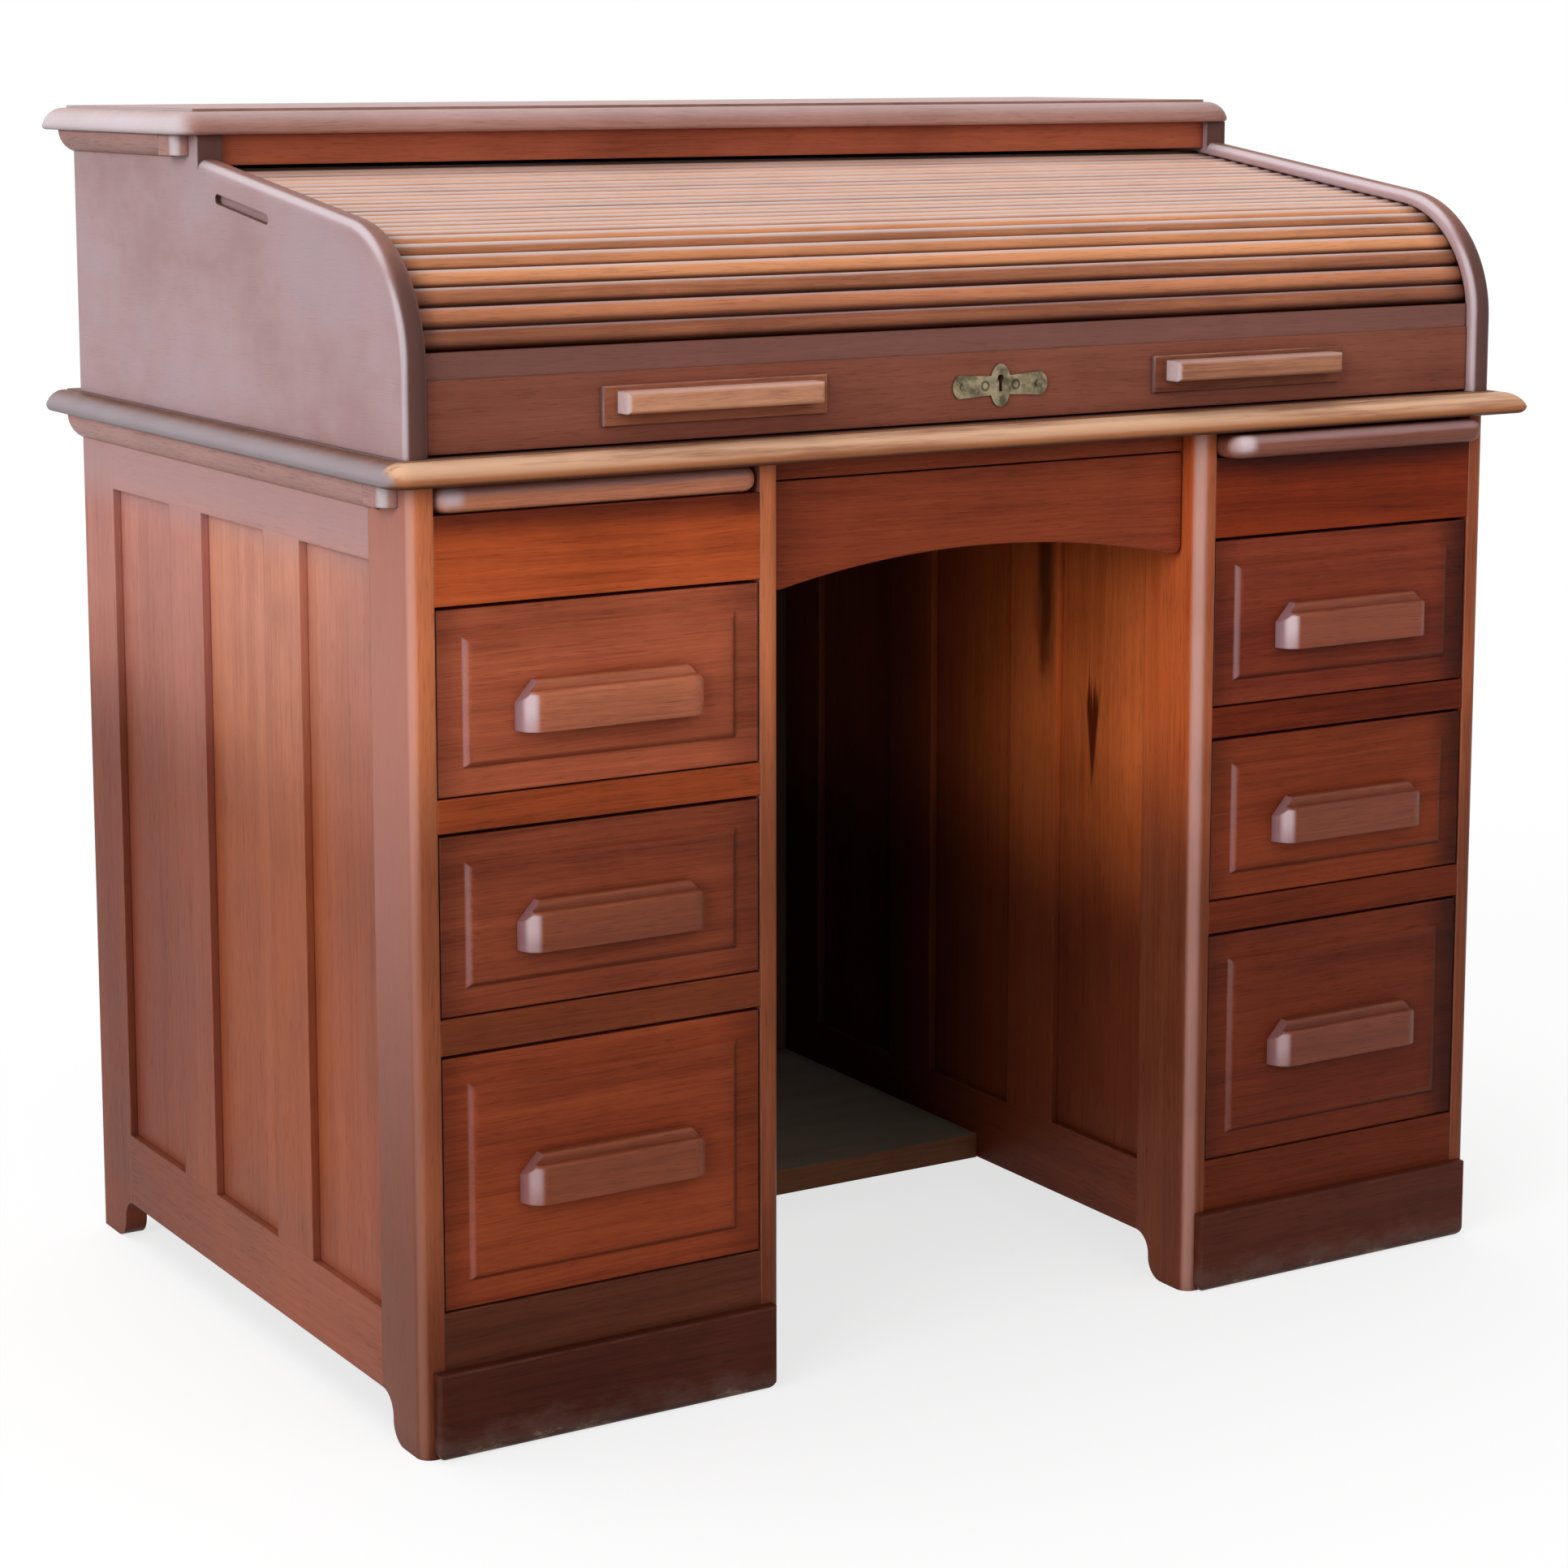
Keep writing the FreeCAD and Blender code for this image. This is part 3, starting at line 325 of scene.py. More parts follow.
# Grain: every board gets its own grain, along its longest side
def grain_modifier():
    """Joins each solid's faces, finds which way it is long, and stores where the grain runs."""
    tree = bpy.data.node_groups.new("board_grain", "GeometryNodeTree")
    tree.interface.new_socket("Geometry", in_out="INPUT", socket_type="NodeSocketGeometry")
    tree.interface.new_socket("Seed", in_out="INPUT", socket_type="NodeSocketInt")
    tree.interface.new_socket("Across", in_out="INPUT", socket_type="NodeSocketBool")
    tree.interface.new_socket("Gable Frame", in_out="INPUT", socket_type="NodeSocketBool")
    tree.interface.new_socket("Geometry", in_out="OUTPUT", socket_type="NodeSocketGeometry")
    geometry, seed, across, gable_frame = tree.nodes.new("NodeGroupInput").outputs[:4]
    result = tree.nodes.new("NodeGroupOutput")

    def total(value, kind):
        inputs = {"Value": value, "Group ID": island}
        return add(tree, "GeometryNodeAccumulateField", inputs, data_type=kind).outputs["Total"]

    def compare(operation, first, second):
        return add(tree, "FunctionNodeCompare", {0: first, 1: second}, data_type="FLOAT",
                   operation=operation).outputs[0]

    def logic(operation, first, second=False):
        return add(tree, "FunctionNodeBooleanMath", {0: first, 1: second}, operation=operation).outputs[0]

    def order(first, second, third):
        return add(tree, "ShaderNodeCombineXYZ", {0: first, 1: second, 2: third}).outputs[0]

    def choose(test, when_false, when_true):
        inputs = {"Switch": test, "False": when_false, "True": when_true}
        return add(tree, "GeometryNodeSwitch", inputs, input_type="VECTOR").outputs[0]

    def store(geometry, name, value, kind):
        inputs = {"Geometry": geometry, "Name": name, "Value": value}
        made = add(tree, "GeometryNodeStoreNamedAttribute", inputs, data_type=kind, domain="POINT")
        return made.outputs[0]

    # An edge is sharp where it is bent, and where the boards of one node touch along it
    joined = add(tree, "GeometryNodeMergeByDistance",
                 {"Geometry": geometry, "Selection": logic("NOT", gable_frame), "Distance": join_distance})
    angle = add(tree, "GeometryNodeInputMeshEdgeAngle").outputs[0]
    faces = add(tree, "GeometryNodeInputMeshEdgeNeighbors").outputs[0]
    touching = add(tree, "FunctionNodeCompare", {2: faces, 3: 2}, data_type="INT",
                   operation="GREATER_THAN").outputs[0]
    sharp = logic("OR", compare("GREATER_THAN", angle, board_crease), touching)
    shaded = add(tree, "GeometryNodeSetMeshNormal",
                 {"Mesh": joined.outputs[0], "Remove Custom": True, "Edge Sharpness": sharp,
                  "Face Sharpness": False}, mode="SHARPNESS").outputs[0]

    # A board is long where its points spread most about their middle
    island = add(tree, "GeometryNodeInputMeshIsland").outputs[0]
    place = add(tree, "GeometryNodeInputPosition").outputs[0]
    share = sums(tree, "DIVIDE", 1.0, total(1.0, "FLOAT"))
    middle = scaled(tree, total(place, "FLOAT_VECTOR"), share)
    squares = vectors(tree, "MULTIPLY", place, place)
    mean_square = scaled(tree, total(squares, "FLOAT_VECTOR"), share)
    wide = apart(tree, vectors(tree, "SUBTRACT", mean_square, vectors(tree, "MULTIPLY", middle, middle)))
    x, y, z = apart(tree, place)
    along_x = order(x, y, z)
    along_y = order(y, x, z)
    along_z = order(z, x, y)
    along = choose(compare("GREATER_EQUAL", wide[1], wide[2]), along_z, along_y)
    longest_x = logic("AND", compare("GREATER_EQUAL", wide[0], wide[1]),
                      compare("GREATER_EQUAL", wide[0], wide[2]))
    along = choose(longest_x, along, along_x)
    along = choose(across, along, along_x)

    # The boards of a gable frame touch, so they are told apart by place: rails lie over and under the panels
    low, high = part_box("left_gable_panels")
    off_middle = sums(tree, "ABSOLUTE", sums(tree, "SUBTRACT", z, (low[2] + high[2]) / 2))
    beyond = sums(tree, "GREATER_THAN", off_middle, (high[2] - low[2]) / 2 - panel_tongue)
    inside = sums(tree, "LESS_THAN", sums(tree, "ABSOLUTE", y), high[1] - panel_tongue)
    rail = add(tree, "GeometryNodeFieldOnDomain", {0: times(tree, beyond, inside)},
               data_type="FLOAT", domain="FACE").outputs[0]
    framed = choose(sums(tree, "GREATER_THAN", rail, 0.5), along_z, along_y)
    along = choose(gable_frame, along, framed)

    inputs = {0: (-grain_shift,) * 3, 1: (grain_shift,) * 3, "ID": island, "Seed": seed}
    shift = add(tree, "FunctionNodeRandomValue", inputs, data_type="FLOAT_VECTOR").outputs[0]
    tone = add(tree, "FunctionNodeRandomValue", {"ID": island, "Seed": seed}, data_type="FLOAT").outputs[1]
    grained = store(shaded, "grain", vectors(tree, "ADD", along, shift), "FLOAT_VECTOR")
    tree.links.new(store(grained, "board", tone, "FLOAT"), result.inputs[0])
    return tree


# Wood
def wood(name, tone, worn, figure=0.4, boards=0.25, pores=0.3, wear=0.5, dirt_and_shade=0.6, nook=0.03, rough=0.42,
         shine=0.08, low=(0.85, 0.82, 0.80), painted_falloff=(0.70, 0.10), painted_sheen=0.0, painted_sheen_low=0.25, painted_sheen_tone=painted_sheen_pink,
         painted_sheen_way=left_faces, sky=0.0, sky_sheen_from=0.35, marks=None):
    """Old polished mahogany.

    Warped streaks, fine lines and pores; painted shade towards the floor, as far as low, over the falloff
    heights;
    a painted pale sheen on faces turned one way (the sheen settings) or up (sky); rubbed edges, and corners
    darkened by dirt and painted shade.
    """
    made, tree, shader = new_material(name)
    grain = add(tree, "ShaderNodeAttribute", attribute_name="grain").outputs["Vector"]
    board = add(tree, "ShaderNodeAttribute", attribute_name="board").outputs["Fac"]
    place = add(tree, "ShaderNodeTexCoord").outputs["Object"]
    height = apart(tree, place)[2]

    wander = noise(tree, grain, wander_waves)["Color"]
    wander = vectors(tree, "MULTIPLY", vectors(tree, "SUBTRACT", wander, (0.5, 0.5, 0.5)), wander_reach)
    warped = vectors(tree, "ADD", grain, wander)
    ribbon = noise(tree, warped, ribbon_waves)["Fac"]
    streak = noise(tree, warped, streak_waves, 3.0, 0.6)["Fac"]
    fine = noise(tree, warped, fine_waves, 4.0, 0.65)["Fac"]
    pore = ranged(tree, noise(tree, warped, pore_waves, 1.0)["Fac"], *pore_limits)
    patch = noise(tree, place, patch_waves, 4.0, 0.6)["Fac"]

    parts = [(streak, figure), (ribbon, 0.9 * figure), (fine, 0.9 * figure), (patch, 0.4), (board, boards)]
    share = weighted(tree, 0.5, [(centred(tree, part), weight) for part, weight in parts])
    ramp = add(tree, "ShaderNodeValToRGB", {0: share})
    darkest, lightest = ramp.color_ramp.elements
    darkest.position, lightest.position = tone_limits
    darkest.color = tinted(tone, dark_grain)
    lightest.color = tinted(tone, light_grain)
    ramp.color_ramp.elements.new(0.5).color = tone
    shown = multiplied(tree, times(tree, pore, pores), ramp.outputs[0], pore_tint)
    # Painted shade: darker towards the floor, as far as low, over the falloff heights
    shown = multiplied(tree, ranged(tree, height, *painted_falloff), shown, low)

    rounded = add(tree, "ShaderNodeBevel", {"Radius": edge_rounding}, samples=2).outputs[0]
    turned = apart(tree, rounded)
    cloudy = sums(tree, "MULTIPLY_ADD", patch, 0.5, 0.75)
    # Painted sheen: a pale bloom where the window light would reflect, on faces turned one way or up
    if painted_sheen:
        strength = ranged(tree, height, painted_falloff[1], painted_falloff[0], painted_sheen_low, 1.0)
        painted_sheen_share = times(tree, facing(tree, turned, *painted_sheen_way), painted_sheen, strength, cloudy)
        shown = mixed(tree, painted_sheen_share, shown, painted_sheen_tone)
    if sky:
        painted_sheen_share = times(tree, ranged(tree, turned[2], sky_sheen_from, sky_sheen_full), sky, cloudy)
        shown = mixed(tree, painted_sheen_share, shown, painted_sheen_tone)
    if marks:
        shown = marks(tree, place, turned, shown)

    flat = add(tree, "ShaderNodeNewGeometry").outputs["True Normal"]
    bent = add(tree, "ShaderNodeVectorMath", {0: rounded, 1: flat}, operation="DOT_PRODUCT").outputs["Value"]
    edge = ranged(tree, bent, *edge_limits)
    open_air = occlusion(tree, nook)
    rub = ranged(tree, noise(tree, place, rub_waves, 4.0, 0.6)["Fac"], *rub_limits)
    rub = times(tree, edge, rub, ranged(tree, open_air, *rub_open), wear)
    shown = mixed(tree, rub, shown, worn)
    # Darker in corners within the nook distance: partly dirt, partly painted shade
    darkening = times(tree, ranged(tree, open_air, *dirt_and_shade_open), dirt_and_shade)
    shown = multiplied(tree, darkening, shown, dirt_and_shade_tint)
    tree.links.new(shown, shader.inputs["Base Color"])

    polish = weighted(tree, rough, [(centred(tree, patch), 0.25), (pore, 0.15), (rub, 0.15)])
    tree.links.new(polish, shader.inputs["Roughness"])
    shader.inputs["Specular IOR Level"].default_value = shine
    relief = weighted(tree, 0.0, [(pore, -0.7), (fine, 0.5), (patch, 0.8)])
    add_bump(tree, shader, {"Strength": wood_bump, "Distance": wood_bump_depth, "Height": relief,
                            "Normal": rounded})
    return made


# Wear and marks of single boards
def slab_wear_and_painted_light(tree, place, turned, shown):
    """Golden brown where sleeves rubbed the front nose, with a painted highlight on its upper turn and
    painted shade beneath.
    """
    streaks = noise(tree, place, (5.0, 60.0, 90.0), 4.0, 0.65)["Fac"]
    # Painted highlight on the nose's upper turn, and painted shade beneath it
    golden = mixed(tree, ranged(tree, turned[2], 0.05, 0.80), colour(188, 120, 80), colour(230, 184, 150))
    golden = mixed(tree, ranged(tree, streaks, 0.45, 0.70, 0.0, 0.75), golden, colour(150, 92, 64))
    golden = mixed(tree, ranged(tree, turned[2], -0.2, -0.8), golden, colour(96, 56, 40))
    nose_rear, nose_front = slab_nose
    front = ranged(tree, apart(tree, place)[1], slab_front + nose_rear, slab_front + nose_front)
    front = times(tree, front, ranged(tree, turned[0], -0.92, -0.55))
    return mixed(tree, front, shown, golden)


def gable_painted_highlights(tree, place, turned, shown):
    """An upper gable: dark on its front edge, a painted highlight where that turns, and clouds of painted
    sheen on its left face.
    """
    shown = mixed(tree, ranged(tree, turned[1], -0.45, -0.90), shown, colour(100, 68, 62))
    glint = facing(tree, turned, *gable_glints)
    crest_sheen = facing(tree, turned, *gable_crest_highlights)
    shown = mixed(tree, times(tree, sums(tree, "MAXIMUM", glint, crest_sheen), 0.7), shown, painted_sheen_lilac)
    # Painted sheen clouding the left face
    side = ranged(tree, turned[0], -0.80, -0.98)
    cloud = noise(tree, place, (5.0, 5.0, 8.0), 4.0, 0.65)["Fac"]
    warm_sheen = times(tree, side, ranged(tree, cloud, 0.45, 0.70, 0.0, 0.55))
    shown = mixed(tree, warm_sheen, shown, colour(164, 124, 122))
    cold_sheen = times(tree, side, ranged(tree, cloud, 0.52, 0.32, 0.0, 0.6))
    return mixed(tree, cold_sheen, shown, colour(184, 162, 170))


def left_side(tree, place, turned, shown):
    """Boards between two steps differ in colour; the top rail carries a greyer painted sheen and the lower
    rear is darker.
    """
    y, z = apart(tree, place)[1:]
    front, rear = side_steps
    low, high = side_panels
    panels = times(tree, ranged(tree, z, low, low + 0.1), ranged(tree, z, high + step_edge, high))
    behind = times(tree, ranged(tree, y, rear - step_edge, rear), panels)
    shown = multiplied(tree, behind, shown, (1.0, 0.97, 1.02))
    before_rear = ranged(tree, y, rear, rear - step_edge)
    between = times(tree, before_rear, ranged(tree, y, front - 0.12, front), panels)
    tint = mixed(tree, ranged(tree, z, 0.40, 0.62), (1.14, 1.06, 0.80, 1.0), (1.28, 1.26, 1.08, 1.0))
    shown = mixed(tree, between, shown, tint, "MULTIPLY")
    # Painted sheen on the top rail
    shown = mixed(tree, ranged(tree, z, high - 0.03, high + 0.02, 0.0, 0.7), shown, colour(188, 154, 156))
    darker_low_rear = times(tree, ranged(tree, y, -0.10, 0.25), ranged(tree, z, 0.56, 0.44))
    return multiplied(tree, darker_low_rear, shown, (0.68, 0.62, 0.62))


def corner_stile(tree, place, turned, shown):
    """Dark at the foot; its side face painted with the gable's pink sheen, and a painted highlight down the
    rounding.
    """
    z = apart(tree, place)[2]
    shown = multiplied(tree, ranged(tree, z, 0.22, 0.08), shown, (0.55, 0.50, 0.52))
    # Painted sheen on the side face, weaker lower down, and a painted highlight on the rounding
    side = ranged(tree, turned[0], -0.55, -0.95, 0.0, 0.85)
    side_sheen = mixed(tree, ranged(tree, z, 0.62, 0.12), colour(185, 125, 114), colour(122, 74, 60))
    shown = mixed(tree, side, shown, side_sheen)
    highlight_line = times(tree, facing(tree, turned, *left_turns), ranged(tree, z, 0.40, 0.62, 0.15, 0.6))
    return mixed(tree, highlight_line, shown, colour(228, 170, 150))


def painted_light_inside(tree, place, turned, shown):
    """A stile's face towards the kneehole: painted warm light high up, painted shade lower down."""
    z = apart(tree, place)[2]
    tint = mixed(tree, ranged(tree, z, 0.34, 0.52), (0.62, 0.58, 0.60, 1.0), (1.22, 0.92, 0.60, 1.0))
    return mixed(tree, ranged(tree, turned[0], -0.80, -0.95), shown, tint, "MULTIPLY")


def shaded_rail(tree, place, turned, shown):
    """Painted shadow close under the writing slide."""
    z = apart(tree, place)[2]
    dark = ranged(tree, z, slide_low - 0.026, slide_low - 0.002)
    return multiplied(tree, dark, shown, (0.30, 0.26, 0.30))


def pull_end_sheen(tree, place, turned, shown):
    """A pull's rounded left end: painted mauve sheen as it turns away, with a soft painted highlight, both
    weaker low down.
    """
    upward = apart(tree, add(tree, "ShaderNodeTexCoord").outputs["Generated"])[2]
    strength = ranged(tree, apart(tree, place)[2], 0.25, 0.60, 0.45, 1.0)
    turn = times(tree, facing(tree, turned, *left_faces), 0.8, strength)
    shown = mixed(tree, turn, shown, colour(160, 128, 139))
    highlight_spot = times(tree, ranged(tree, upward, 0.0, 0.5, 0.4, 0.85), facing(tree, turned, *end_highlights), strength)
    return mixed(tree, highlight_spot, shown, colour(230, 206, 210))


def drawer_face(name, right_end_darkening):
    """Marks for a drawer front: darker towards its ends, with painted shade on its bevel where it turns
    right or down.
    """
    low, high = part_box(name)

    def marks(tree, place, turned, shown):
        x = apart(tree, place)[0]
        left = ranged(tree, x, low[0], low[0] + 0.03, 0.45, 0.0)
        right = ranged(tree, x, high[0] - 0.045, high[0], 0.0, right_end_darkening)
        shown = multiplied(tree, sums(tree, "MAXIMUM", left, right), shown, (0.22, 0.18, 0.18))
        # Painted shade on the bevel where it turns right or down
        shown = multiplied(tree, ranged(tree, turned[0], 0.1, 0.4), shown, (0.55, 0.55, 0.55))
        return multiplied(tree, ranged(tree, turned[2], -0.1, -0.4), shown, (0.65, 0.65, 0.65))

    return marks


def grip_plate_and_sheen(tree, place, turned, shown):
    """A lift handle: the plate behind the grip is darker, with a painted mauve sheen on its left edge."""
    y = apart(tree, place)[1]
    plate_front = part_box("lift_handles")[1][1] - handle_plate
    plate = ranged(tree, y, plate_front - 0.0006, plate_front - 0.0001)
    shown = multiplied(tree, plate, shown, (0.52, 0.38, 0.35))
    # Painted sheen on the plate's left edge
    edge = times(tree, plate, facing(tree, turned, *left_faces), 0.85)
    return mixed(tree, edge, shown, colour(112, 88, 90))


def knot_share(tree, place):
    """A knot like a wedge that stands on its point, with a frayed top."""
    y, z = apart(tree, place)[1:]
    above = sums(tree, "SUBTRACT", z, knot_point[1])
    beside = sums(tree, "ABSOLUTE", sums(tree, "SUBTRACT", y, knot_point[0]))
    beside = sums(tree, "MULTIPLY_ADD", above, -knot_width / knot_height / 2, beside)
    fray = centred(tree, noise(tree, place, (0.0, 420.0, 5.0))["Fac"])
    top = sums(tree, "MULTIPLY_ADD", fray, 0.10, above)
    below_top = ranged(tree, top, knot_height, knot_height - 0.025)
    return times(tree, ranged(tree, beside, 0.001, -0.003), below_top, 0.92)


def kneehole_side(tree, place, turned, shown):
    """Painted light in front and high up, painted shade towards the floor and the rear, with a knot and a
    dark run.

    The pedestal's other gable, on the outside, is a plainer brown and only a little darker low down.
    """
    x, y, z = apart(tree, place)
    outside = ranged(tree, x, *gable_parting)
    inside = sums(tree, "SUBTRACT", 1.0, outside)
    shown = multiplied(tree, outside, shown, (0.62, 0.80, 1.15))
    outer_low = times(tree, ranged(tree, z, 0.60, 0.05), outside)
    shown = multiplied(tree, outer_low, shown, (0.66, 0.62, 0.62))
    # Painted shade towards the floor
    inner_painted_shade = times(tree, ranged(tree, z, 0.48, 0.28), inside)
    shown = multiplied(tree, inner_painted_shade, shown, (0.22, 0.20, 0.30))
    # Painted light in front and high up
    painted_light = times(tree, ranged(tree, y, -0.05, -0.15), ranged(tree, z, 0.42, 0.50), inside)
    shown = multiplied(tree, painted_light, shown, (1.15, 1.15, 1.15))
    # Painted shade towards the rear
    rear = times(tree, ranged(tree, y, -0.05, 0.14), inside)
    shown = multiplied(tree, rear, shown, (0.28, 0.30, 0.55))
    knot = times(tree, knot_share(tree, place), inside)
    shown = mixed(tree, knot, shown, colour(78, 24, 11))
    rough_edge = noise(tree, place, (60.0, 60.0, 14.0), 3.0)["Fac"]
    smear = away_from(tree, place, smear_place, smear_size)
    smear = sums(tree, "MULTIPLY_ADD", centred(tree, rough_edge), 1.2, smear)
    return mixed(tree, ranged(tree, smear, 1.1, 0.2, 0.0, 0.8), shown, colour(58, 22, 12))


def scuffed(tree, place, turned, shown):
    """Greyed and knocked pale along the floor."""
    height = apart(tree, place)[2]
    broken = noise(tree, place, (30.0, 30.0, 60.0), 5.0, 0.7)["Fac"]
    level = sums(tree, "MULTIPLY_ADD", centred(tree, broken), 0.06, height)
    shown = mixed(tree, ranged(tree, level, 0.030, -0.005, 0.0, 0.45), shown, colour(112, 90, 82))
    return mixed(tree, ranged(tree, level, 0.003, -0.006, 0.0, 0.7), shown, colour(168, 140, 118))


def dusty(tree, place, turned, shown):
    """Grey where feet and dust have worn the top."""
    broken = noise(tree, place, (6.0, 30.0, 30.0), 4.0, 0.6)["Fac"]
    dust = times(tree, ranged(tree, broken, 0.2, 0.6, 0.5, 0.9), ranged(tree, turned[2], 0.7, 0.9))
    return mixed(tree, dust, shown, colour(130, 126, 114))


def slide_painted_sheen(tree, place, turned, shown):
    """A slide's nose: painted mauve sheen along its upper turn, with a painted highlight by its left end."""
    along = apart(tree, add(tree, "ShaderNodeTexCoord").outputs["Generated"])[0]
    crest_sheen = times(tree, facing(tree, turned, *slide_crest_sheen), 0.45)
    shown = mixed(tree, crest_sheen, shown, painted_sheen_mauve)
    highlight_spot = times(tree, ranged(tree, along, 0.10, 0.055), ranged(tree, along, 0.0, 0.045, 0.35))
    forward = ranged(tree, turned[1], -0.1, -0.6)
    upper = ranged(tree, turned[2], -0.7, 0.2, 0.1, 0.95)
    return mixed(tree, times(tree, highlight_spot, forward, upper), shown, colour(238, 214, 220))


def lead_strip_sheen(tree, place, turned, shown):
    """The strip along the top of the lead rail carries a greyer painted sheen."""
    height = apart(tree, place)[2]
    strip = ranged(tree, height, lead_strip_low - 0.0005, lead_strip_low + 0.0005, 0.0, 0.42)
    return mixed(tree, strip, shown, colour(126, 98, 96))


def shaded_slats(tree, place, turned, shown):
    """Slats with painted shade underneath and at their ends, and redder near the lead rail."""
    x, _, z = apart(tree, place)
    shown = multiplied(tree, ranged(tree, z, 0.915, 0.865), shown, (0.85, 0.77, 0.82))
    # Painted shade under each slat
    shown = multiplied(tree, ranged(tree, turned[2], 0.25, -0.45), shown, (0.26, 0.20, 0.19))
    # Painted shade at the slat ends by the gables
    end = ranged(tree, sums(tree, "ABSOLUTE", x), 0.485, 0.508)
    return multiplied(tree, end, shown, (0.50, 0.46, 0.46))


# Brass and linen
def brass(name):
    """Dull old brass: tarnish in patches, paler where it is touched, fine scratches and punched rings."""
    made, tree, shader = new_material(name)
    place = add(tree, "ShaderNodeTexCoord").outputs["Object"]
    tarnish = noise(tree, place, (90.0, 90.0, 90.0), 4.0, 0.6)["Fac"]
    scratch = noise(tree, place, (160.0, 2200.0, 900.0))["Fac"]
    shown = mixed(tree, ranged(tree, tarnish, 0.35, 0.68), colour(150, 136, 108), colour(92, 84, 64))
    corner = ranged(tree, occlusion(tree, 0.006), 0.8, 0.4, 0.0, 0.8)
    shown = mixed(tree, corner, shown, colour(40, 33, 26))
    rings = []
    for way in (-1, 1):
        middle = (plate_middle[0] + way * ring_offset, plate_middle[1], plate_middle[2])
        reach = away_from(tree, place, middle, (ring_radius, 1.0, ring_radius))
        rings.append(ranged(tree, sums(tree, "ABSOLUTE", sums(tree, "SUBTRACT", reach, 1.0)), 0.45, 0.15))
    punched = sums(tree, "MAXIMUM", *rings)
    shown = mixed(tree, times(tree, punched, 0.75), shown, colour(50, 42, 32))
    tree.links.new(shown, shader.inputs["Base Color"])
    shader.inputs["Metallic"].default_value = 0.8
    tree.links.new(ranged(tree, tarnish, 0.3, 0.7, 0.42, 0.65), shader.inputs["Roughness"])
    relief = sums(tree, "MULTIPLY_ADD", punched, -1.5, scratch)
    add_bump(tree, shader, {"Strength": 0.3, "Distance": 0.0003, "Height": relief})
    return made


def woven(name):
    """Coarse brown linen, seen only behind the slats."""
    made, tree, shader = new_material(name)
    place = add(tree, "ShaderNodeAttribute", attribute_name="grain").outputs["Vector"]
    threads = []
    for way in ("X", "Y"):
        inputs = {"Vector": place, "Scale": 280.0, "Distortion": 0.6}
        threads.append(add(tree, "ShaderNodeTexWave", inputs, bands_direction=way).outputs["Fac"])
    thread = sums(tree, "MAXIMUM", *threads)
    stain = noise(tree, place, (14.0, 14.0, 14.0), 4.0)["Fac"]
    shown = mixed(tree, stain, colour(122, 98, 70), colour(158, 132, 98))
    shown = multiplied(tree, ranged(tree, thread, 0.9, 0.2, 0.0, 0.6), shown, (0.4, 0.35, 0.3))
    tree.links.new(shown, shader.inputs["Base Color"])
    shader.inputs["Roughness"].default_value = 0.95
    shader.inputs["Specular IOR Level"].default_value = 0.1
    add_bump(tree, shader, {"Strength": 0.6, "Distance": 0.0004, "Height": thread})
    return made


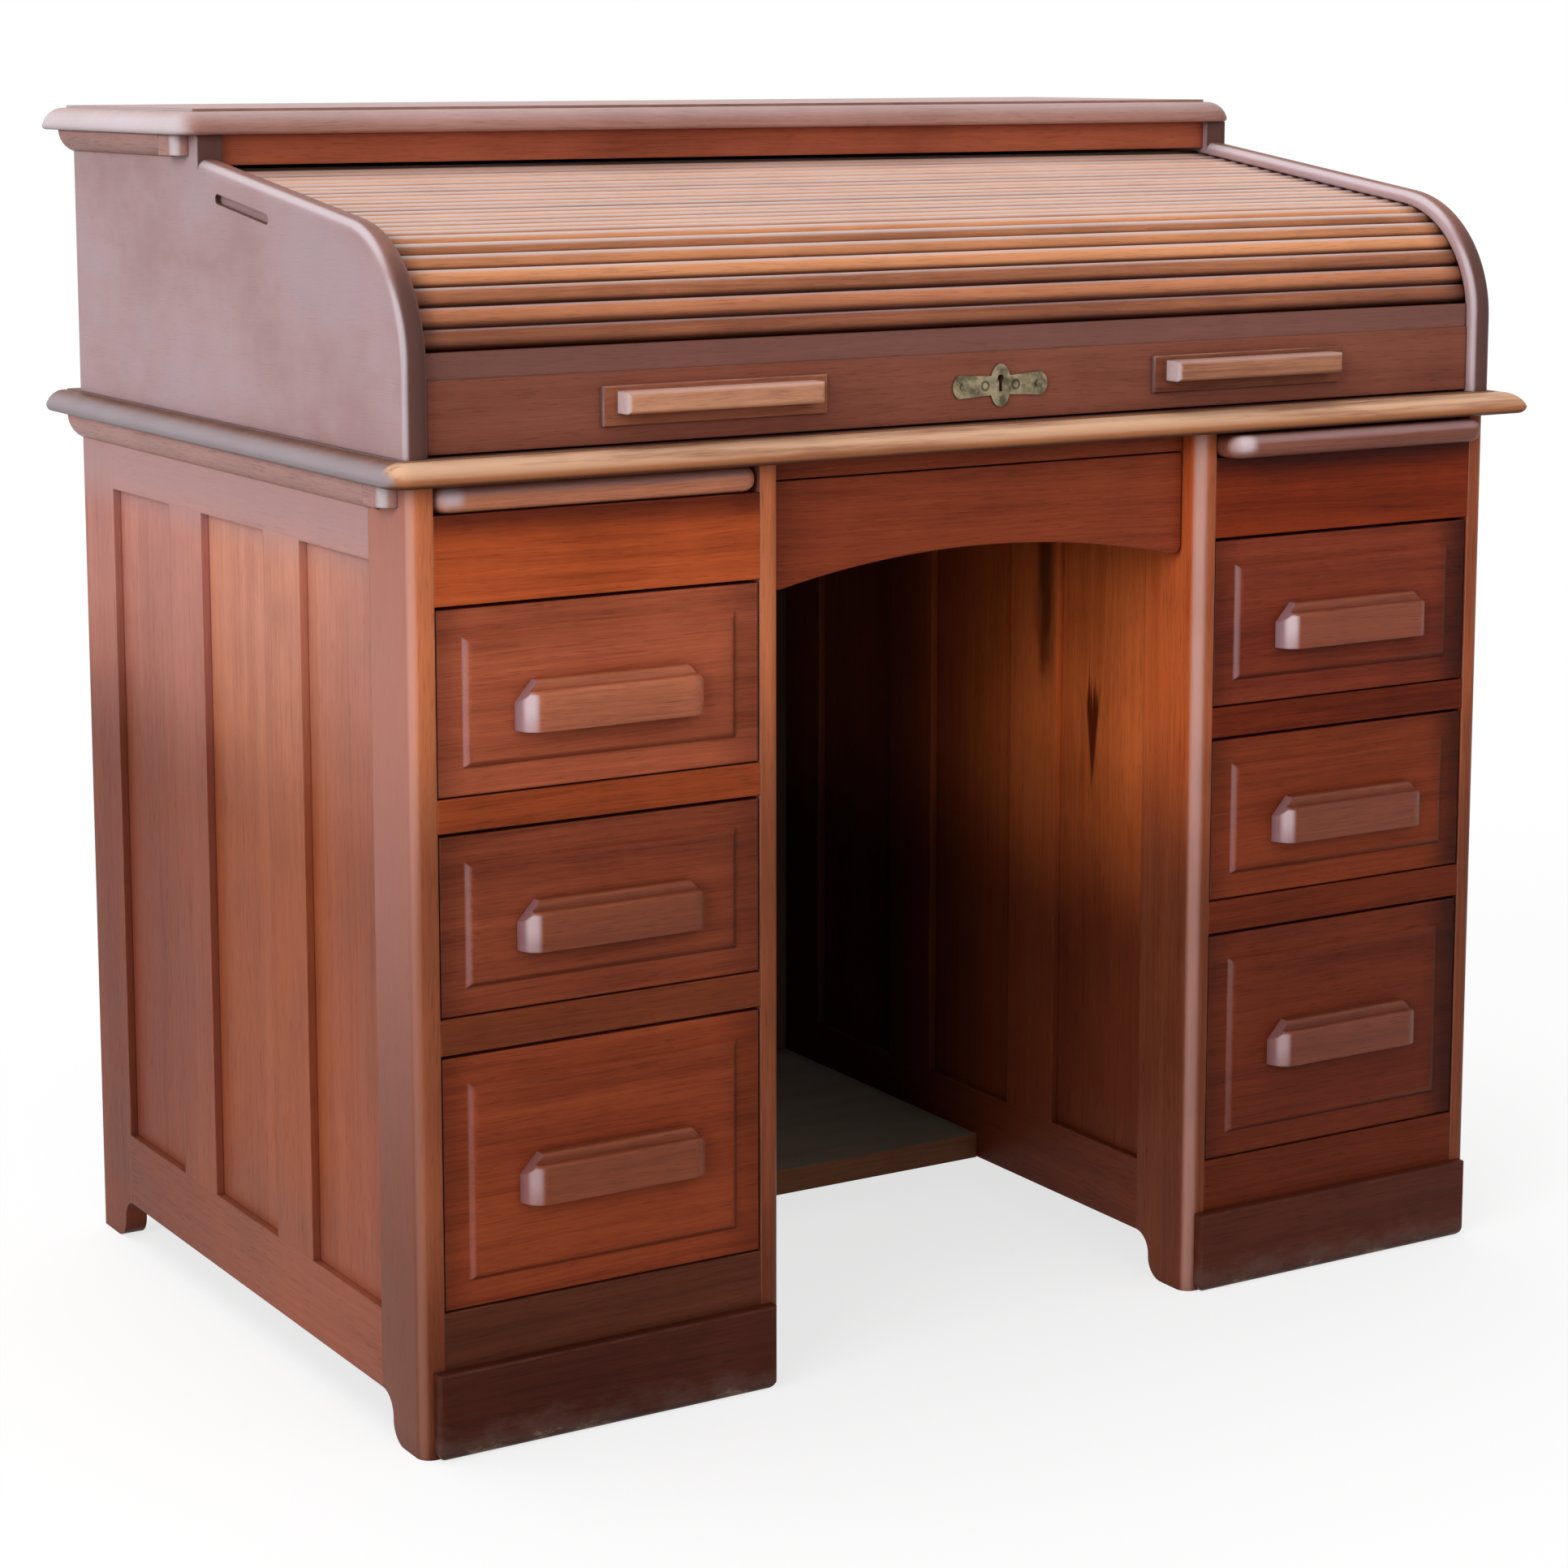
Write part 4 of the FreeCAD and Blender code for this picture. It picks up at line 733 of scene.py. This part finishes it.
# Finishes, and the nodes that have them
levels = ("top", "middle", "bottom")
front_tones = {
    "left_top": colour(178, 90, 60),
    "left_middle": colour(145, 70, 45),
    "left_bottom": colour(152, 69, 39),
    "right_top": colour(131, 55, 34),
    "right_middle": colour(137, 59, 31),
    "right_bottom": colour(112, 47, 26),
}
front_end_darkening = {"left": 0.45, "right": 0.95}
# In these finishes the sheen and sky settings paint a pale sheen, and low paints shade towards the floor
materials = {
    "side": wood("side_mahogany", colour(198, 133, 117), colour(206, 150, 120), figure=0.25, boards=0.1,
                 pores=0.15, dirt_and_shade=0.4, low=(0.54, 0.37, 0.26), painted_falloff=(0.68, 0.42), marks=left_side),
    "left_stile": wood("left_stile_mahogany", colour(206, 117, 75), colour(206, 146, 110), figure=0.35,
                       boards=0.1, low=(0.45, 0.42, 0.45), painted_falloff=(0.62, 0.45), marks=corner_stile),
    "right_stile": wood("right_stile_mahogany", colour(180, 97, 62), colour(206, 140, 104), figure=0.5,
                        boards=0.1, low=(0.50, 0.50, 0.52), painted_falloff=(0.54, 0.30), painted_sheen=0.60, painted_sheen_low=0.5,
                        painted_sheen_way=front_turns, marks=painted_light_inside),
    "left_rail": wood("left_rail_mahogany", colour(195, 88, 44), colour(200, 130, 86), figure=0.55,
                      boards=0.1, low=(0.17, 0.24, 0.42), painted_falloff=(0.74, 0.18), marks=shaded_rail),
    "right_rail": wood("right_rail_mahogany", colour(132, 47, 17), colour(160, 96, 64), figure=0.7,
                       boards=0.1, low=(0.56, 0.74, 1.0), painted_falloff=(0.74, 0.16), marks=shaded_rail),
    "centre_front": wood("centre_drawer_mahogany", colour(148, 66, 38), colour(180, 112, 76), figure=0.6,
                         boards=0.1),
    "right_case": wood("right_case_mahogany", colour(206, 104, 52), colour(190, 124, 84), figure=0.35,
                       boards=0.15, low=(1.0, 1.0, 1.0), marks=kneehole_side),
    "left_pull": wood("left_pull_mahogany", colour(186, 104, 71), colour(206, 146, 112), figure=0.55,
                      wear=0.7, shine=0.25, boards=0.1, low=(0.40, 0.31, 0.24), painted_falloff=(0.60, 0.40),
                      marks=pull_end_sheen),
    "right_pull": wood("right_pull_mahogany", colour(134, 66, 42), colour(188, 128, 98), figure=0.55,
                       wear=0.7, shine=0.25, boards=0.1, low=(0.70, 0.68, 0.66), painted_falloff=(0.62, 0.20),
                       marks=pull_end_sheen),
    "left_slide": wood("left_slide_mahogany", colour(216, 136, 101), colour(206, 150, 116), figure=0.6,
                       wear=0.8, shine=0.2, marks=slide_painted_sheen),
    "right_slide": wood("right_slide_mahogany", colour(140, 82, 64), colour(180, 130, 110), figure=0.6,
                        wear=0.8, shine=0.2, marks=slide_painted_sheen),
    "slab": wood("slab_mahogany", colour(120, 80, 64), colour(206, 150, 110), wear=0.6, painted_sheen=0.9,
                 painted_sheen_tone=colour(164, 152, 158), marks=slab_wear_and_painted_light),
    "cornice": wood("cornice_mahogany", colour(168, 122, 110), colour(206, 162, 146), wear=0.8, painted_sheen=0.85,
                    painted_sheen_tone=painted_sheen_lilac, sky=0.3),
    "moulding": wood("moulding_mahogany", colour(184, 138, 130), colour(206, 166, 150), figure=0.3, painted_sheen=0.9,
                     painted_sheen_tone=painted_sheen_lilac, painted_sheen_way=left_turns),
    "frieze": wood("frieze_mahogany", colour(172, 90, 62), colour(200, 134, 94)),
    "gable": wood("gable_mahogany", colour(150, 104, 92), colour(186, 150, 140), figure=0.25, pores=0.08,
                  wear=0.3, painted_sheen=0.75, painted_sheen_tone=painted_sheen_mauve, marks=gable_painted_highlights),
    "tambour": wood("tambour_mahogany", colour(208, 136, 92), colour(220, 176, 150), figure=0.4,
                    boards=0.5, dirt_and_shade=0.8, nook=0.012, shine=0.2, painted_sheen_tone=colour(212, 194, 190), sky=0.85,
                    sky_sheen_from=0.70, marks=shaded_slats),
    "lead": wood("lead_rail_mahogany", colour(134, 76, 59), colour(178, 118, 84), marks=lead_strip_sheen),
    "handle": wood("handle_mahogany", colour(198, 136, 104), colour(232, 190, 160), figure=0.6, wear=0.8,
                   painted_sheen=0.7, painted_sheen_tone=painted_sheen_lilac, sky=0.3, marks=grip_plate_and_sheen),
    "plinth": wood("plinth_mahogany", colour(90, 43, 30), colour(150, 112, 90), wear=0.8, marks=scuffed),
    "footboard": wood("footboard_mahogany", colour(120, 78, 54), colour(160, 120, 90), marks=dusty),
    "lining": wood("lining_oak", colour(150, 116, 78), colour(190, 160, 120), rough=0.65, shine=0.15),
    # Painted shade: the backing's tone is darkened, standing in for the deep shade of the kneehole
    "backing": wood("backing_pine", colour(76, 56, 44), colour(150, 112, 84), rough=0.7, shine=0.12),
    "brass": brass("old_brass"),
    "canvas": woven("backing_linen"),
}
for front, tone in front_tones.items():
    darkening = front_end_darkening[front.split("_")[0]]
    materials[front] = wood(front + "_mahogany", tone, colour(190, 120, 80), figure=0.6, boards=0.0,
                            painted_sheen=0.45, painted_sheen_tone=painted_sheen_mauve,
                            marks=drawer_face(front + "_drawer_front", darkening))

finishes = {
    "side": ["left_gable_frames", "left_gable_panels"],
    "left_stile": ["left_front_stiles"],
    "right_stile": ["right_front_stiles"],
    "left_rail": ["left_front_rails"],
    "right_rail": ["right_front_rails"],
    "right_case": ["right_gable_frames", "right_gable_panels"],
    "centre_front": ["centre_drawer_front", "kneehole_rail"],
    "left_pull": ["left_" + level + "_drawer_pull" for level in levels],
    "right_pull": ["right_" + level + "_drawer_pull" for level in levels],
    "left_slide": ["left_writing_slide"],
    "right_slide": ["right_writing_slide"],
    "slab": ["writing_top"],
    "cornice": ["cornice_board"],
    "moulding": ["side_mouldings"],
    "frieze": ["frieze_rail"],
    "gable": ["left_upper_gable", "right_upper_gable"],
    "lead": ["tambour_lead_rail"],
    "handle": ["lift_handles"],
    "plinth": ["left_plinth", "right_plinth"],
    "footboard": ["footboard"],
    "lining": [side + "_" + level + "_drawer_box" for side in ("left", "right") for level in levels]
    + ["centre_drawer_box", "centre_drawer_runners", "left_drawer_runners", "right_drawer_runners",
       "pigeonhole_gallery"],
    "backing": ["back_panels", "upper_back_panel", "inner_back_panel"],
    "brass": ["escutcheon", "escutcheon_screws", "lock_bolt", "lock_case", "strike_plate"],
}
for front in front_tones:
    finishes[front] = [front + "_drawer_front"]
grain_across = ("left_writing_slide", "right_writing_slide")
gable_frames = ("left_gable_frames", "right_gable_frames")


def dress_nodes():
    """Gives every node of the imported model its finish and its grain."""
    tree = grain_modifier()
    seed = 0
    for finish, names in finishes.items():
        for name in names:
            part = nodes[name]
            for place in part.material_slots:
                place.link = "OBJECT"
                place.material = materials[finish]
            seed += 1
            grain = part.modifiers.new("grain", "NODES")
            grain.node_group = tree
            grain["Socket_1"] = seed
            grain["Socket_2"] = name in grain_across
            grain["Socket_3"] = name in gable_frames


# Curtain
def path_place(distance):
    """Place and lean on the curtain's path, measured from the top of the lead rail."""
    start = math.asin((lead_top - roll_middle[1]) / path_radius)
    curve = path_radius * (math.pi / 2 - slope - start)
    if distance < curve:
        angle = start + distance / path_radius
        lean = math.pi / 2 - angle
        return (roll_middle[0] - path_radius * math.cos(angle),
                roll_middle[1] + path_radius * math.sin(angle), lean)
    run = distance - curve
    return (roll_middle[0] - path_radius * math.sin(slope) + run * math.cos(slope),
            roll_middle[1] + path_radius * math.cos(slope) + run * math.sin(slope), slope)


def off_path(distance, along, out):
    """A point so far along and out from a place on the path, as y and z."""
    y, z, lean = path_place(distance)
    return (y + along * math.cos(lean) - out * math.sin(lean),
            z + along * math.sin(lean) + out * math.cos(lean))


def slat_outline(distance):
    """Flat behind, square shoulders and a low dome in front."""
    half = slat_width / 2
    back = -slat_thickness / 2
    shoulder = back + slat_shoulder
    outline = [off_path(distance, -half, back), off_path(distance, half, back)]
    for step in range(dome_steps + 1):
        across = math.cos(math.pi * step / dome_steps)
        rise = math.sqrt(max(0.0, 1.0 - across * across)) ** dome_fullness
        outline.append(off_path(distance, half * across, shoulder + (slat_thickness - slat_shoulder) * rise))
    return outline


def new_piece(name, points, faces, finish, places, tones):
    """A piece of the curtain, with its grain stored as the boards' grain is."""
    mesh = bpy.data.meshes.new(name)
    mesh.from_pydata(points, [], faces)
    mesh.materials.append(materials[finish])
    mesh.validate()
    made = mesh.attributes.new("grain", "FLOAT_VECTOR", "POINT")
    made.data.foreach_set("vector", [value for place in places for value in place])
    made = mesh.attributes.new("board", "FLOAT", "POINT")
    made.data.foreach_set("value", tones)
    mesh.shade_smooth()
    mesh.set_sharp_from_angle(angle=curtain_crease)
    piece = bpy.data.objects.new(name, mesh)
    bpy.context.scene.collection.objects.link(piece)
    return piece


def make_slats(name, first, last):
    """Slats from one number up to another, each a bar with closed ends."""
    points = []
    faces = []
    places = []
    tones = []
    cuts = [-slat_half, -slat_half + slat_end, 0.0, slat_half - slat_end, slat_half]
    for number in range(first, last):
        outline = slat_outline((number + 0.5) * slat_pitch)
        size = len(outline)
        begin = len(points)
        tone = (number * slat_tone_step) % 1.0
        for x in cuts:
            for y, z in outline:
                points.append((x, y, z))
                places.append((x + slat_grain_step[0] * number, y + slat_grain_step[1] * number, z))
                tones.append(tone)
        for ring in range(len(cuts) - 1):
            for step in range(size):
                a = begin + ring * size + step
                b = begin + ring * size + (step + 1) % size
                faces.append((a, a + size, b + size, b))
        faces.append(tuple(begin + step for step in range(size)))
        end = begin + (len(cuts) - 1) * size
        faces.append(tuple(end + size - 1 - step for step in range(size)))
    return new_piece(name, points, faces, "tambour", places, tones)


def make_canvas(name, first, last):
    """A strip of the linen backing, glued to the flat backs of the slats."""
    points = []
    faces = []
    places = []
    steps = max(2, int((last - first) / canvas_step))
    for layer in range(2):
        out = -slat_thickness / 2 - layer * canvas_thickness
        for step in range(steps + 1):
            distance = first + (last - first) * step / steps
            y, z = off_path(distance, 0.0, out)
            for column in range(canvas_columns + 1):
                x = -canvas_half + 2 * canvas_half * column / canvas_columns
                points.append((x, y, z))
                places.append((x, distance, 0.0))
    row = canvas_columns + 1
    sheet = row * (steps + 1)
    for step in range(steps):
        for column in range(canvas_columns):
            a = step * row + column
            faces.append((a, a + 1, a + row + 1, a + row))
            faces.append((sheet + a, sheet + a + row, sheet + a + row + 1, sheet + a + 1))
    rim = list(range(canvas_columns))
    rim += [canvas_columns + step * row for step in range(steps)]
    rim += [steps * row + canvas_columns - column for column in range(canvas_columns)]
    rim += [(steps - step) * row for step in range(steps)]
    for here, after in zip(rim, rim[1:] + rim[:1]):
        faces.append((here, here + sheet, after + sheet, after))
    return new_piece(name, points, faces, "canvas", places, [0.5] * len(points))


def make_curtain():
    """Slats and canvas in two lengths, the curve and the slope, both fixed to the carcass; on the desk the
    curve hangs in the rear store when open and the slope runs back.
    """
    split = slats_on_curve * slat_pitch

    curve_slats = make_slats("tambour_slats_front", 0, slats_on_curve)
    slope_slats = make_slats("tambour_slats_slope", slats_on_curve, slat_count)
    curve_canvas = make_canvas("tambour_canvas_front", 0.0, split)
    slope_canvas = make_canvas("tambour_canvas_slope", split, canvas_end)
    for piece in (curve_slats, slope_slats, curve_canvas, slope_canvas):
        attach(piece, "carcass")
    for piece in (curve_slats, slope_slats):
        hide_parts("tambour_slats")
    for piece in (curve_canvas, slope_canvas):
        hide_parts("tambour_canvas")
    for piece in (curve_slats, curve_canvas):
        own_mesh(piece)
    for piece in (slope_slats, slope_canvas):
        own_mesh(piece)


# Studio
def seen_plainly(tree):
    """1 for the camera, reflections and clear parts, which see white; 0 for the light on the desk."""
    path = add(tree, "ShaderNodeLightPath").outputs
    seen = sums(tree, "MAXIMUM", path["Is Camera Ray"], path["Is Glossy Ray"])
    return sums(tree, "MAXIMUM", seen, path["Is Transmission Ray"])


def set_sky():
    """An even pale sky, seen as white."""
    world = bpy.data.worlds.new("studio")
    bpy.context.scene.world = world
    tree = empty_tree(world)
    sky = add(tree, "ShaderNodeBackground", {"Color": (1.0, 1.0, 1.0, 1.0), "Strength": sky_strength})
    white = add(tree, "ShaderNodeBackground", {"Color": (1.0, 1.0, 1.0, 1.0), "Strength": 1.0})
    inputs = {0: seen_plainly(tree), 1: sky.outputs[0], 2: white.outputs[0]}
    either = add(tree, "ShaderNodeMixShader", inputs)
    output = add(tree, "ShaderNodeOutputWorld")
    tree.links.new(either.outputs[0], output.inputs[0])


def set_lamps():
    """Broad lamps, far away."""
    for name, given in lamps.items():
        data = bpy.data.lights.new(name, "SUN")
        data.energy = given["strength"]
        data.angle = math.radians(given["spread"])
        lamp = bpy.data.objects.new(name, data)
        lamp.rotation_mode = "QUATERNION"
        lamp.rotation_quaternion = Vector(given["source"]).to_track_quat("Z", "Y")
        bpy.context.scene.collection.objects.link(lamp)


def set_floor():
    """A wide pale floor that keeps the desk's shadow."""
    made = bpy.data.materials.new("pale_floor")
    tree = empty_tree(made)
    plain = add(tree, "ShaderNodeBsdfDiffuse", {"Color": (floor_colour, floor_colour, floor_colour, 1.0)})
    glow = add(tree, "ShaderNodeEmission", {"Strength": times(tree, seen_plainly(tree), floor_glow)})
    both = add(tree, "ShaderNodeAddShader", {0: plain.outputs[0], 1: glow.outputs[0]})
    output = add(tree, "ShaderNodeOutputMaterial")
    tree.links.new(both.outputs[0], output.inputs[0])

    corners = [(-floor_reach, -floor_reach, 0), (floor_reach, -floor_reach, 0),
               (floor_reach, floor_reach, 0), (-floor_reach, floor_reach, 0)]
    mesh = bpy.data.meshes.new("floor")
    mesh.from_pydata(corners, [], [(0, 1, 2, 3)])
    mesh.materials.append(made)
    floor = bpy.data.objects.new("floor", mesh)
    bpy.context.scene.collection.objects.link(floor)


bpy.context.scene.view_settings.view_transform = "Standard"
set_camera()
dress_nodes()
make_curtain()
set_sky()
set_lamps()
set_floor()
